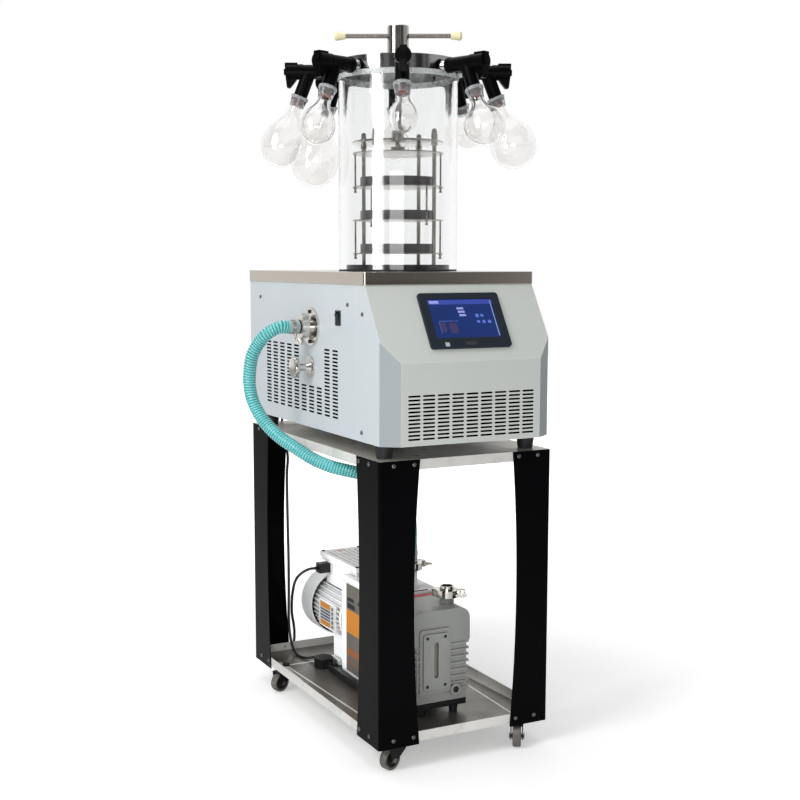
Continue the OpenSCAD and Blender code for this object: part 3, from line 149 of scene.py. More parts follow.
upright = wired(room, "Mapping", {"Vector": heading, "Scale": (1, 1, 0.12)}).outputs["Vector"]
bands = wired(room, "TexNoise", {"Vector": upright, "Scale": 3.4, "Detail": 1.0}).outputs["Fac"]
height = wired(room, "SeparateXYZ", {0: heading}).outputs["Z"]
front_share = room_range(room_toward((-0.455, -0.891, 0)), -0.62, -0.15, 0, 1)
side_level = room_math("MAXIMUM", room_range(bands, 0.46, 0.6, 0.03, 0.22),
    room_range(room_toward((0.891, 0.454, 0)), 0.0, 0.18, 0, 0.5))
dark_half = room_math("MAXIMUM", side_level, room_range(height, 0.45, 0.85, 0, 0.55))
gloss_level = room_math("ADD", room_math("MULTIPLY", dark_half, front_share), all_but(front_share))
seen_ray = wired(room, "LightPath", {}).outputs
bounced = room_math("MINIMUM", 1.0, room_math("ADD", seen_ray["Glossy Depth"], seen_ray["Diffuse Depth"]))
straight_through = room_math("MULTIPLY", seen_ray["Is Transmission Ray"], all_but(bounced))
plain_view = room_math("MAXIMUM", seen_ray["Is Camera Ray"], straight_through)
in_gloss = room_math("MULTIPLY", room_math("MINIMUM", 1.0, seen_ray["Glossy Depth"]),
    all_but(seen_ray["Is Diffuse Ray"]))
soft_level = 0.36
unseen_level = room_between(soft_level, gloss_level, in_gloss)
room.links.new(room_between(unseen_level, 1.0, plain_view), room_light.inputs["Strength"])


def noise_of(material, scale, detail, stretch):
    tree = material.node_tree
    place = wired(tree, "TexCoord", {}).outputs["Object"]
    stretched = wired(tree, "Mapping", {"Vector": place, "Scale": stretch}).outputs["Vector"]
    return wired(tree, "TexNoise", {"Vector": stretched, "Scale": scale, "Detail": detail}).outputs["Fac"]


def spread(material, value, low, high, from_low=0.3, from_high=0.7):
    limits = {"Value": value, "From Min": from_low, "From Max": from_high, "To Min": low, "To Max": high}
    return wired(material.node_tree, "MapRange", limits).outputs["Result"]


# one colour laid over another, as much as the share says
def laid_over(material, under, over, share):
    return wired(material.node_tree, "Mix", {"A": under, "B": (*over, 1), "Factor": share},
                 data_type="RGBA").outputs["Result"]


# One finish: a colour that drifts a little over the surface, a roughness that drifts with it, a fine
# relief (its scale, and its depth in micrometres), and an edge radius that catches the light at corners.
# Dirt is its colour, scale and strength; sockets holds what else the shader itself is set to. A painted
# highlight can pale its edges, and painted shade can darken its hollows.
def finish(name, colour, rough, metal=0.0, drift=0.06, patch=9.0, relief=(900, 20), edge=0.0,
           stretch=(1, 1, 1), rough_drift=0.06, coat=0.0, dirt=None, painted_edge_highlight=0.0, shine=0.5,
           painted_hollow_shade=0.0, sockets=[]):
    material = bpy.data.materials.new(name)
    material.use_nodes = True
    tree = material.node_tree
    shader = tree.nodes["Principled BSDF"]
    for socket, value in [("Metallic", metal), ("Coat Weight", coat),
                          ("Specular IOR Level", shine)] + sockets:
        shader.inputs[socket].default_value = value
    patches = noise_of(material, patch, 5.0, stretch)
    colour_out = laid_over(material, (*[c * (1 - drift) for c in colour], 1),
                           [min(1, c * (1 + drift)) for c in colour], spread(material, patches, 0, 1))
    if dirt:
        dirt_colour, dirt_scale, dirt_most = dirt
        specks = noise_of(material, dirt_scale, 8.0, stretch)
        colour_out = laid_over(material, colour_out, dirt_colour,
                               spread(material, specks, 0, dirt_most, 0.52, 0.75))
    # painted highlight: the colour pales along edges, where the rounded normal turns away from the face's
    if painted_edge_highlight:
        turned_edge = wired(tree, "Bevel", {"Radius": edge * 1.6}, samples=6).outputs["Normal"]
        flat_face = wired(tree, "NewGeometry", {}).outputs["Normal"]
        agree = wired(tree, "VectorMath", {0: turned_edge, 1: flat_face}, operation="DOT_PRODUCT")
        colour_out = laid_over(material, colour_out, [min(1, c * 1.25 + 0.16) for c in colour],
                               spread(material, agree.outputs["Value"], painted_edge_highlight, 0, 0.9, 0.995))
    # painted shade: the colour darkens in hollows, by ambient occlusion
    if painted_hollow_shade:
        hollow_shade = wired(tree, "AmbientOcclusion", {"Distance": 0.014}, samples=8).outputs["AO"]
        colour_out = laid_over(material, colour_out, [c * 0.12 for c in colour],
                               spread(material, hollow_shade, painted_hollow_shade, 0, 0.25, 0.85))
    tree.links.new(colour_out, shader.inputs["Base Color"])
    wear = noise_of(material, patch * 4, 6.0, stretch)
    tree.links.new(spread(material, wear, rough - rough_drift, rough + rough_drift),
                   shader.inputs["Roughness"])
    grain, depth = relief
    bump = wired(tree, "Bump", {"Distance": depth * 1e-6, "Height": noise_of(material, grain, 3.0, stretch)})
    if edge:
        rounding = wired(tree, "Bevel", {"Radius": edge}, samples=4)
        tree.links.new(rounding.outputs["Normal"], bump.inputs["Normal"])
    tree.links.new(bump.outputs["Normal"], shader.inputs["Normal"])
    return material


far = 9
floor_mesh = bpy.data.meshes.new("studio_floor")
floor_mesh.from_pydata([(-far, -far, 0), (far, -far, 0), (far, far, 0), (-far, far, 0)], [], [(0, 1, 2, 3)])
floor_paint = finish("floor_paint", (0.88, 0.88, 0.88), 0.6, drift=0.01,
    sockets=[("Emission Color", (1, 1, 1, 1))])
floor_tree = floor_paint.node_tree
floor_ray = wired(floor_tree, "LightPath", {}).outputs
floor_place = wired(floor_tree, "TexCoord", {}).outputs["Object"]
floor_reach = wired(floor_tree, "VectorMath", {0: floor_place}, operation="LENGTH").outputs["Value"]
floor_seen = wired(floor_tree, "Math", {0: floor_ray["Is Camera Ray"], 1: floor_ray["Is Transmission Ray"]},
    operation="MAXIMUM").outputs[0]
floor_fade = spread(floor_paint, floor_reach, 0.33, 1.0, 0.6, 2.2)
floor_glow = wired(floor_tree, "Math", {0: floor_fade, 1: floor_seen}, operation="MULTIPLY").outputs[0]
floor_tree.links.new(floor_glow, floor_tree.nodes["Principled BSDF"].inputs["Emission Strength"])
floor_mesh.materials.append(floor_paint)
studio_floor = bpy.data.objects.new("studio_floor", floor_mesh)
scene.collection.objects.link(studio_floor)

# ---- Vacuum hose ------------------------
# The hose is clear plastic with a hard helix wound into its wall, pushed over a barbed nozzle at each
# end. It arches out of the port, hangs in a long curve under the shelf and drops onto the pump's inlet.
millimetre = 0.001
port_x, port_y, port_z = -0.256, -0.01, 0.907
pump_inlet = (0.012, -0.08, 0.405)
hose_from_port = [(0, 0, 0), (-22, 0, 0), (-48, 9, -15), (-62, 25, -38), (-71, 35, -62), (-74.3, 42, -90),
    (-74.3, 47, -123), (-70, 44, -157), (-60, 33, -188), (-46, 13, -216), (-28, -15, -240), (-6, -48, -260),
    (20, -81, -281)]
hose_from_inlet = [(-218, -42, 206), (-185, -64, 197), (-150, -78, 188), (-116, -80, 174), (-84, -73, 156),
    (-56, -59, 133), (-33, -41, 106), (-16, -23, 76), (-5, -8, 44), (0, 0, 16), (0, 0, 0)]


# a route's points, given in millimetres from the fitting at one of its ends
def route_by(fitting, offsets):
    return [Vector(fitting) + Vector(p) * millimetre for p in offsets]


hose_route = route_by((port_x, port_y, port_z), hose_from_port) + route_by(pump_inlet, hose_from_inlet)


# a smooth line through the route's points, cut into equal steps
def smooth_line(points, step):
    fine, cuts = [], 24
    ends = [points[0] * 2 - points[1]] + list(points) + [points[-1] * 2 - points[-2]]
    for a, b, c, d in zip(ends, ends[1:], ends[2:], ends[3:]):
        for k in range(cuts):
            t = k / cuts
            fine.append(0.5 * (2 * b + (c - a) * t + (2 * a - 5 * b + 4 * c - d) * t * t
                               + (3 * b - a - 3 * c + d) * t ** 3))
    fine.append(points[-1].copy())
    travelled = [0.0]
    for p, q in zip(fine, fine[1:]):
        travelled.append(travelled[-1] + (q - p).length)
    count = max(2, round(travelled[-1] / step))
    line, k = [], 0
    for i in range(count + 1):
        goal = travelled[-1] * i / count
        while k < len(fine) - 2 and travelled[k + 1] < goal:
            k += 1
        share = (goal - travelled[k]) / max(1e-9, travelled[k + 1] - travelled[k])
        line.append(fine[k].lerp(fine[k + 1], share))
    return line, travelled[-1]


# a tube along a line; radius(i, k) gives each vertex's distance from the line
def tube_along(name, line, sides, radius):
    verts, faces = [], []
    across = None
    for i, point in enumerate(line):
        ahead = (line[min(i + 1, len(line) - 1)] - line[max(i - 1, 0)]).normalized()
        if across is None:
            across = ahead.orthogonal().normalized()
        across = (across - ahead * across.dot(ahead)).normalized()
        other = ahead.cross(across)
        for k in range(sides):
            turn = math.tau * k / sides
            verts.append(point + (across * math.cos(turn) + other * math.sin(turn)) * radius(i, k))
    for i in range(len(line) - 1):
        for k in range(sides):
            a, b = i * sides + k, i * sides + (k + 1) % sides
            faces.append((a, b, b + sides, a + sides))
    faces.append(tuple(range(sides - 1, -1, -1)))
    faces.append(tuple(range(len(verts) - sides, len(verts))))
    mesh = bpy.data.meshes.new(name)
    mesh.from_pydata(verts, [], faces)
    mesh.polygons.foreach_set("use_smooth", [True] * len(mesh.polygons))
    mesh.polygons[-1].use_smooth = mesh.polygons[-2].use_smooth = False
    return mesh


hose_step, hose_sides = 0.0007, 20
helix_pitch, bare_radius, helix_rise = 0.006, 0.0136, 0.0011
helix_from, helix_to = 0.3, 0.72
hose_line, hose_length = smooth_line(hose_route, hose_step)


# how far round the helix, from 0 to 1, each vertex of the hose lies
def hose_wind(i, k):
    return (i * hose_step / helix_pitch + k / hose_sides) % 1


def hose_radius(i, k):
    return bare_radius + helix_rise * max(0.0, math.cos((hose_wind(i, k) - 0.5) * math.tau)) ** 0.6


# the wall is clear sea-green plastic; the harder helix in it is paler
light_depth = ("Subsurface Radius", (0.003, 0.006, 0.006))
hose_wall = finish("hose_wall", (0.016, 0.31, 0.32), 0.22, drift=0.16, patch=26, relief=(1500, 10), coat=0.4,
    dirt=((0.12, 0.5, 0.5), 22, 0.5), sockets=[("Subsurface Weight", 0.25), light_depth])
hose_helix = finish("hose_helix", (0.21, 0.57, 0.57), 0.26, drift=0.1, patch=26, relief=(1500, 10), coat=0.4,
    sockets=[("Subsurface Weight", 0.35), light_depth])


# A new piece: a list of meshes is joined into one, it takes its material and slot, and it rides on a body.
def piece_of(name, mesh, material, body="cart"):
    made = bpy.data.objects.new(name, joined(name, mesh) if isinstance(mesh, list) else mesh)
    scene.collection.objects.link(made)
    made.data.materials.append(material)
    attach(made, body)
    return made


hose_mesh = tube_along("vacuum_hose_ribbed", hose_line, hose_sides, hose_radius)
vacuum_hose = piece_of("vacuum_hose_ribbed", hose_mesh, hose_wall)
hose_mesh.materials.append(hose_helix)
for n, face in enumerate(hose_mesh.polygons[:(len(hose_line) - 1) * hose_sides]):
    if helix_from < hose_wind(n // hose_sides + 0.5, n % hose_sides + 0.5) < helix_to:
        face.material_index = 1
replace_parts(vacuum_hose, "vacuum_hose")


# shades a mesh round, except at edges sharper than the angle
def shaded_round(mesh, sharp):
    mesh.polygons.foreach_set("use_smooth", [True] * len(mesh.polygons))
    mesh.set_sharp_from_angle(angle=math.radians(sharp))
    return mesh


# a turned piece: outline is a list of (radius, height) pairs, place carries it from its own upright axis
def turned(name, outline, place=Matrix(), segments=64, sharp=30):
    verts, faces, rings = [], [], []
    for radius, height in outline:
        if radius < 1e-7:
            rings.append([len(verts)])
            verts.append(place @ Vector((0, 0, height)))
        else:
            rings.append(list(range(len(verts), len(verts) + segments)))
            for k in range(segments):
                turn = math.tau * k / segments
                verts.append(place @ Vector((radius * math.cos(turn), radius * math.sin(turn), height)))
    for low, high in zip(rings, rings[1:]):
        for k in range(segments):
            j = (k + 1) % segments
            loop = [low[k % len(low)], low[j % len(low)], high[j % len(high)], high[k % len(high)]]
            loop = [v for n, v in enumerate(loop) if v not in loop[:n]]
            if len(loop) > 2:
                faces.append(loop)
    mesh = bpy.data.meshes.new(name)
    mesh.from_pydata(verts, [], faces)
    return shaded_round(mesh, sharp)


# a worked shape, made into a mesh
def mesh_of(name, shape):
    mesh = bpy.data.meshes.new(name)
    shape.to_mesh(mesh)
    shape.free()
    return mesh


# several meshes joined into one
def joined(name, meshes):
    whole = bmesh.new()
    for mesh in meshes:
        whole.from_mesh(mesh)
    return shaded_round(mesh_of(name, whole), 30)


# a block with rounded edges, turned by place
def rounded_block(name, low, high, edge, place=Matrix(), segments=3):
    block = bmesh.new()
    bmesh.ops.create_cube(block, size=1)
    middle = (Vector(low) + Vector(high)) / 2
    span = Vector(high) - Vector(low)
    for v in block.verts:
        v.co = middle + Vector((v.co.x * span.x, v.co.y * span.y, v.co.z * span.z))
    bmesh.ops.bevel(block, geom=block.edges[:], offset=edge, segments=segments, affect="EDGES", profile=0.5)
    block.transform(place)
    return shaded_round(mesh_of(name, block), 50)


def spun(degrees, axis):
    return Matrix.Rotation(math.radians(degrees), 4, axis)


# a place whose upright axis is turned to a direction
def toward(place, direction):
    return Matrix.Translation(place) @ Vector(direction).to_track_quat("Z", "Y").to_matrix().to_4x4()


# The hose's ends, stretched over the nozzles' barbs, look grey where the metal shows through their wall.
hose_cuff = finish("hose_cuff", (0.3, 0.4, 0.4), 0.3, drift=0.25, patch=40, relief=(1500, 10), coat=0.4)
cuff_rib = 0.0013
cuff_meshes = []
for spot, along, cuff_length in ((hose_route[0], (1, 0, 0), 0.0235), (hose_route[-1], (0, 0, -1), 0.0345)):
    cuff_outline = [(0.0143, 0)]
    for k in range(1, int(cuff_length / cuff_rib)):
        cuff_outline.append((0.0152 if k % 4 in (1, 2) else 0.0146, k * cuff_rib))
    cuff_outline += [(0.0149, cuff_length - 0.0004), (0.0143, cuff_length)]
    cuff_meshes.append(turned("cuff", cuff_outline, toward(spot, along), 40, 60))
piece_of("hose_cuffs", cuff_meshes, hose_cuff)

# Worm-drive clips of bright steel band grip the hose just past each nozzle.
clip_steel = finish("clip_steel", (0.42, 0.41, 0.39), 0.26, metal=1.0, relief=(900, 30), edge=0.0004)
clip_band = [(0.0153, -0.0045), (0.0159, -0.0045), (0.0159, 0.0045), (0.0153, 0.0045), (0.0153, -0.0045)]
clip_screw = [(0, 0), (0.0034, 0.0004), (0.0036, 0.004), (0.0024, 0.0045), (0.0024, 0.02), (0, 0.02)]
hose_clips = []
for spot, along, turn in ((hose_route[0] + Vector((0.01, 0, 0)), (-1, 0, 0), 200),
                          (hose_route[-1] + Vector((0, 0, -0.016)), (0, 0, 1), 60)):
    clip_place = toward(spot, along) @ spun(turn, "Z")
    screw_place = clip_place @ Matrix.Translation((0.0186, -0.012, 0)) @ spun(-90, "X")
    hose_clips += [turned("clip_band", clip_band, clip_place, 48),
                   rounded_block("clip_housing", (0.0145, -0.006, -0.0055), (0.0205, 0.006, 0.0055), 0.0015,
                                 clip_place),
                   turned("clip_screw", clip_screw, screw_place, 12)]
piece_of("hose_clips", hose_clips, clip_steel)

# ---- Leads ------------------------
# Two round rubber-sheathed leads. One feeds the pump from the bench unit's rear, through a moulded
# socket; the other is the bench unit's own mains lead, which lies in the lower tray with its plug.
lead_radius, lead_step, lead_sides = 0.0034, 0.004, 14
pump_lead_from_socket = [(0, 0, 0), (-14, 0, 0), (-30, 1, -5), (-44, 6, -17), (-49, 16, -34), (-48, 30, -57),
    (-44, 48, -87), (-36, 68, -127), (-24, 86, -162), (-16, 101, -188), (-13, 111, -214), (-16, 118, -237),
    (-28, 124, -254), (-45, 128, -261), (-63, 130, -257), (-77, 131, -242), (-85, 131, -217),
    (-89, 130, -172)]
pump_lead_to_gland = [(-20, 3, -492), (-19, 3, -342), (-17, 2, -202), (-12, 6, -102), (-5, 17, -47),
    (-1, 23, -22), (0, 19, -4), (0, 10, 0), (0, 0, 0)]
pump_gland = (-0.15, 0.379, 0.742)
mains_gland = (-0.105, 0.379, 0.742)
socket_tail = (-0.081, 0.252, 0.2905)
plug_tail = (-0.09, 0.218, 0.072)
mains_from_gland = [(0, 0, 0), (0, 11, 0), (0, 22, -6), (-1, 27, -24), (-2, 25, -52), (-3, 17, -92),
    (-4, 3, -127), (-5, -15, -156), (-8, -32, -184), (-14, -41, -212), (-16, -44, -242), (-16, -45, -302)]
mains_to_plug = [(-30, 116, 298), (-29, 116, 228), (-29, 116, 148), (-30, 116, 78), (-29, 113, 40),
    (-28, 102, 11), (-27, 85, -5), (-26, 67, -9), (-23, 48, -9), (-15, 32, -8), (-6, 20, -4), (-1, 10, -1),
    (0, 0, 0)]
pump_lead_route = route_by(socket_tail, pump_lead_from_socket) + route_by(pump_gland, pump_lead_to_gland)
mains_route = route_by(mains_gland, mains_from_gland) + route_by(plug_tail, mains_to_plug)
lead_sheath = finish("lead_sheath", (0.018, 0.018, 0.019), 0.42, relief=(700, 60))
black_moulding = finish("black_moulding", (0.01, 0.01, 0.011), 0.36, relief=(1400, 50), edge=0.0008,
    shine=0.25)
for name, route, node, far_end, end_piece, exit_point in (
        ("pump_lead_round", pump_lead_route, "pump_lead", "connector", "pump_connector", pump_gland),
        ("mains_lead_round", mains_route, "mains_lead", "plug", "mains_plug", mains_gland)):
    line, length = smooth_line(route, lead_step)
    lead_mesh = tube_along(name, line, lead_sides, lambda i, k: lead_radius)
    lead = piece_of(name, lead_mesh, lead_sheath)
    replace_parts(lead, node)
    centre = line[::3] + [line[-1]]
    # a cord's path starts at its gland, and the pump lead's route at its socket
    if route is pump_lead_route:
        centre.reverse()


# A CAD piece keeps its shape; its round faces are shaded round and it takes one or more finishes.
def dress(node, *materials):
    mesh = cad[node].data
    mesh.materials.clear()
    for material in materials:
        mesh.materials.append(material)
    return shaded_round(mesh, 32)


for node in ("pump_connector", "mains_plug", "rear_glands"):
    dress(node, black_moulding)

# ---- Trolley ------------------------
# Four legs of folded sheet, powder-coated black, each waisted in a long curve; two folded trays of
# galvanised sheet between them, the upper one turned over as a shelf. Pan-head screws hold each corner.
leg_coat = finish("leg_coat", (0.0016, 0.0017, 0.0022), 0.19, drift=0.2, patch=4, relief=(1100, 10),
    edge=0.001, rough_drift=0.05, shine=0.035)
tray_bright = finish("tray_bright", (0.78, 0.77, 0.74), 0.42, metal=0.35, drift=0.1, patch=9,
    relief=(400, 40), edge=0.0008, rough_drift=0.1, dirt=((0.36, 0.34, 0.3), 20, 0.4))
lower_tray_dark = finish("lower_tray_dark", (0.16, 0.15, 0.132), 0.36, metal=0.55, drift=0.22, patch=5, relief=(400, 40),
    edge=0.0008, rough_drift=0.1, dirt=((0.26, 0.25, 0.23), 9, 0.5))
shelf_top = finish("shelf_top", (0.56, 0.53, 0.47), 0.36, metal=0.45, drift=0.16, patch=4, relief=(400, 40),
    edge=0.0008, rough_drift=0.1)
screw_zinc = finish("screw_zinc", (0.2, 0.2, 0.2), 0.32, metal=1.0, relief=(900, 20), edge=0.0004)
dress("trolley_legs", leg_coat)
# of the broad level faces, the lower tray's take a much darker colour and the shelf's a middle one
for face in dress("trolley_trays", tray_bright, lower_tray_dark, shelf_top).polygons:
    if abs(face.normal.z) > 0.9 and face.area > 0.01:
        face.material_index = 1 if face.center.z < 0.4 else 2


# a pan head with a cross recess, upright about the origin, with its washer face at height 0
def pan_head():
    head = bmesh.new()
    sides, top, arm, half = 28, 0.0024, 0.0022, 0.00055
    cross = [(half, half), (half, arm), (-half, arm)]
    while len(cross) < 12:
        cross.append((-cross[-3][1], cross[-3][0]))
    turns = [math.tau * k / sides for k in range(sides)]
    outline = [(0.0045, 0), (0.00445, 0.0009), (0.0041, 0.0017), (0.0034, 0.0022), (0.0028, top)]
    loops = [[head.verts.new((radius * math.cos(turn), radius * math.sin(turn), height)) for turn in turns]
             for radius, height in outline]
    rim = [head.verts.new((x, y, top)) for x, y in cross]
    recess_floor = [head.verts.new((x * 0.8, y * 0.8, 0.0009)) for x, y in cross]

    def walled(low, high):
        for k in range(len(low)):
            j = (k + 1) % len(low)
            head.faces.new((low[k], low[j], high[j], high[k]))

    for low, high in zip(loops, loops[1:]):
        walled(low, high)
    edges = [head.edges.get((a, b)) or head.edges.new((a, b)) for loop in (loops[-1], rim)
             for a, b in zip(loop, loop[1:] + loop[:1])]
    bmesh.ops.triangle_fill(head, use_beauty=True, edges=edges)
    walled(rim, recess_floor)
    head.faces.new(recess_floor)
    bmesh.ops.recalc_face_normals(head, faces=head.faces[:])
    return mesh_of("pan_head", head)


half_width, half_depth, leg_foot, shelf_level = 0.205, 0.351, 0.052, 0.652
case_half, case_foot = 0.2, 0.682
screw_spots = []
for sx in (-1, 1):
    for z in (leg_foot + 0.017, shelf_level - 0.01):
        for sy in (-1, 1):
            screw_spots += [((sx * (half_width - u), sy * half_depth, z), (0, sy, 0)) for u in (0.033, 0.08)]
            screw_spots += [((sx * half_width, sy * (half_depth - u), z),
                             (sx, 0, 0)) for u in (0.045, 0.092)]
    screw_spots += [((sx * case_half, y, case_foot + z), (sx, 0, 0))
                    for y, z in ((0.298, 0.283), (-0.197, 0.278), (-0.267, 0.261), (-0.263, 0.019))]
# each screw is driven home at its own angle
driven = random.Random(4)
screw_meshes = []
for spot, out in screw_spots:
    one = pan_head()
    one.transform(toward(spot, out) @ Matrix.Rotation(driven.uniform(0, 1.5), 4, "Z"))
    screw_meshes.append(one)
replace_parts(piece_of("pan_head_screws", screw_meshes, screw_zinc), "pan_screws")

# ---- Castors ------------------------
# Swivel castors with a pressed fork painted black, a plain axle bolt, and a small wheel whose grey
# rubber tyre is moulded round a dark plastic hub.
fork_paint = finish("fork_paint", (0.006, 0.006, 0.006), 0.35, relief=(900, 40), edge=0.0008, shine=0.2)
hub_plastic = finish("hub_plastic", (0.012, 0.012, 0.012), 0.45, relief=(900, 40), shine=0.2)
tyre_rubber = finish("tyre_rubber", (0.105, 0.098, 0.09), 0.62, drift=0.25, patch=60, relief=(900, 80),
    dirt=((0.34, 0.32, 0.28), 55, 0.6))
tyre_inner, castor_trail, axle_height, axle_head, fork_cheek = 0.0172, 0.021, 0.023, 0.0062, 0.0137
castor_posts = {"fl": (-0.148, -0.322, 197), "fr": (0.148, -0.322, 237), "bl": (-0.17, 0.232, 200),
    "br": (0.17, 0.232, 215)}
for corner, (post_x, post_y, heading_angle) in castor_posts.items():
    ahead = math.radians(heading_angle)
    axle = Vector((post_x + castor_trail * math.cos(ahead), post_y + castor_trail * math.sin(ahead),
                   axle_height))
    axle_line = Vector((-math.sin(ahead), math.cos(ahead), 0))
    for face in dress("castor_fork_" + corner, fork_paint, screw_zinc).polygons:
        off = face.center - axle
        along = off.dot(axle_line)
        if (off - axle_line * along).length < axle_head and abs(along) > fork_cheek:
            face.material_index = 1
    wheel = dress("castor_wheel_" + corner, tyre_rubber, hub_plastic)
    for face in wheel.polygons:
        offs = [wheel.vertices[v].co - axle for v in face.vertices]
        if max((off - axle_line * off.dot(axle_line)).length for off in offs) < tyre_inner + 0.0005:
            face.material_index = 1

# ---- Bench unit ------------------------
# The case is folded from painted steel sheet: a front shell with a sloping panel and cut-off corners,
# two side panels, a base pan with a rear wall, and a stainless worktop. It stands on four rubber feet.
# the panel, shell and worktop finishes carry a painted highlight along their edges
panel_paint = finish("panel_paint", (0.54, 0.585, 0.615), 0.38, drift=0.02, patch=3, relief=(1300, 30),
    edge=0.001, painted_edge_highlight=0.5)
shell_paint = finish("shell_paint", (0.54, 0.565, 0.54), 0.42, drift=0.02, patch=3, relief=(1300, 30),
    edge=0.0014, painted_edge_highlight=0.9)
inside_shade_black = finish("inside_shade_black", (0.006, 0.006, 0.006), 0.9, relief=(600, 200), shine=0.1)
worktop_brushed = finish("worktop_brushed", (0.5, 0.45, 0.39), 0.19, metal=1.0, drift=0.05, patch=1.5,
    relief=(130, 15), edge=0.0016, stretch=(0.06, 0.06, 8), rough_drift=0.05, painted_edge_highlight=0.9)
foot_rubber = finish("foot_rubber", (0.012, 0.012, 0.012), 0.6, relief=(500, 100), edge=0.001)
case_sheet = 0.0015
case_rear, case_front, slope_top = 0.367, -0.3685, -0.276
corner_x, corner_y, front_height, case_top = 0.0357, 0.0255, 0.167, 1.002
front_lean = math.atan((slope_top - case_front) / (case_top - case_foot - front_height))


# how far a point lies inside the case's outer skin
def case_depth(point):
    x, y, z = abs(point.x), point.y, point.z
    cut_corner = ((case_half - x) * corner_y + (y - case_front) * corner_x - corner_x * corner_y)
    lean = (y - case_front) * math.cos(front_lean) - (z - case_foot - front_height) * math.sin(front_lean)
    return min(case_half - x, y - case_front, case_rear - y, z - case_foot,
               cut_corner / math.hypot(corner_x, corner_y), lean, case_top - z)


# painted shade: the sheets' inner faces and slot walls are black, so that the slots show dark
for node, paint in (("side_panel_left", panel_paint), ("side_panel_right", panel_paint),
                    ("chassis", panel_paint), ("front_shell", shell_paint)):
    for face in dress(node, paint, inside_shade_black).polygons:
        if case_depth(face.center) > case_sheet * 0.3:
            face.material_index = 1
# the shell's cheeks take the bluer paint of the side panels, and its cut-off corners a darker copy of that
# paint, as painted shade
shell = cad["front_shell"].data
corner_shade_paint = finish("corner_shade_paint", (0.28, 0.315, 0.33), 0.42, drift=0.02, patch=3, relief=(1300, 30),
    edge=0.0014, painted_edge_highlight=0.9)
shell.materials.append(panel_paint)
shell.materials.append(corner_shade_paint)
for face in shell.polygons:
    if face.material_index == 0 and abs(face.normal.x) > 0.3:
        face.material_index = 2 if abs(face.normal.x) > 0.95 else 3
# painted shade: a black sheet stands behind each field of slots, so that they show dark
slot_shade_boxes = [((-0.186, -0.165, 0.698), (-0.184, 0.28, 0.874)),
             ((0.184, -0.165, 0.698), (0.186, 0.28, 0.874)), ((-0.158, -0.355, 0.688), (0.158, -0.353, 0.8)),
             ((-0.158, 0.351, 0.768), (0.158, 0.3525, 0.975))]
piece_of("slot_shade_sheets", [rounded_block("slot_shade_sheet", low, high, 0.0004, segments=1) for low, high in slot_shade_boxes],
    inside_shade_black)
dress("worktop", worktop_brushed)
dress("machine_feet", foot_rubber)

# ---- Operator panel ------------------------
# A dark moulded bezel on the slope holds a lit display behind a hard clear front; the display shows
# plain fields and bars.
bezel_moulding = finish("bezel_moulding", (0.01, 0.016, 0.024), 0.4, relief=(1500, 40), edge=0.0012,
    shine=0.25)
display_blue = finish("display_blue", (0.002, 0.006, 0.03), 0.12, drift=0.3, patch=14, relief=(3, 0),
    shine=0.3, sockets=[("Emission Color", (0.003, 0.022, 0.14, 1)), ("Emission Strength", 0.85)])
dress("hmi_bezel", bezel_moulding)
dress("hmi_screen", display_blue)
panel_x, panel_down, slope_turn = 0.006, 0.087, 58.84
slope_place = (Matrix.Translation((panel_x, slope_top, case_top)) @ spun(slope_turn, "X")
    @ Matrix.Translation((0, -panel_down, 0)))


# flat fields on a face: each is (left, low, right, high, corner) in millimetres
def printed_fields(name, fields, lift, place, material):
    patch = bmesh.new()
    for left, low, right, high, corner in fields:
        outline = []
        for cx, cy, start in ((right - corner, high - corner, 0), (left + corner, high - corner, 90),
                              (left + corner, low + corner, 180), (right - corner, low + corner, 270)):
            for k in range(5 if corner else 1):
                turn = math.radians(start + 22.5 * k)
                outline.append((cx + corner * math.cos(turn), cy + corner * math.sin(turn)))
        corners = [place @ Vector((x * millimetre, y * millimetre, lift)) for x, y in outline]
        patch.faces.new([patch.verts.new(spot) for spot in corners])
    piece_of(name, mesh_of(name, patch), material)


# what lies on a face stands a hair off it
hair = 0.00005
display_face, bezel_face = 0.0046, 0.006
light_fields = [(-73, 39, -50, 46, 2.5), (-12, 25, 4, 30, 1), (-11, 17, 5, 22, 1), (-10, 9, 6, 14, 1)]
icon_fields = [(28, 6, 36, 14, 1), (40, 7, 47, 13, 1), (28, -7, 35, -1, 1), (41, -8, 48, -1, 1),
    (54, -8, 62, -1, 1), (-60, -2, -16, -1, 0), (-62, -30, -61, -2, 0)]
graphic_fields = [(-60, -26, -48, -4, 1), (-40, -30, -22, -6, 1), (-34, -4, -20, -1, 0)]
for name, fields, lift, colour, glow in (
        ("display_title", [(-77, 37, 77, 48, 0)], hair, (0.012, 0.03, 0.25), 0.5),
        ("display_values", light_fields, 0.0001, (0.2, 0.22, 0.52), 0.5),
        ("display_icons", icon_fields, 0.0001, (0.06, 0.1, 0.4), 0.6),
        ("display_graphic", graphic_fields, 0.0001, (0.02, 0.014, 0.075), 0.3),
        ("display_edge_light", [(71.5, -38, 73.5, 46, 0.5)], 0.00012, (0.17, 0.24, 0.4), 0.6)):
    lit = finish(name + "_colour", colour, 0.15, drift=0.03, coat=0.6,
                 sockets=[("Emission Color", (*colour, 1)), ("Emission Strength", glow)])
    printed_fields(name, fields, display_face + lift, slope_place, lit)
window_black = finish("bezel_window_black", (0.008, 0.008, 0.01), 0.08, coat=0.8)
key_grey = finish("bezel_key_grey", (0.42, 0.43, 0.42), 0.4)
for name, field, lit in (("bezel_window", (-13, -58, 12, -50, 1.5), window_black),
                         ("bezel_key", (-62, -60, -52, -51, 1), key_grey)):
    printed_fields(name, [field], bezel_face + hair, slope_place, lit)

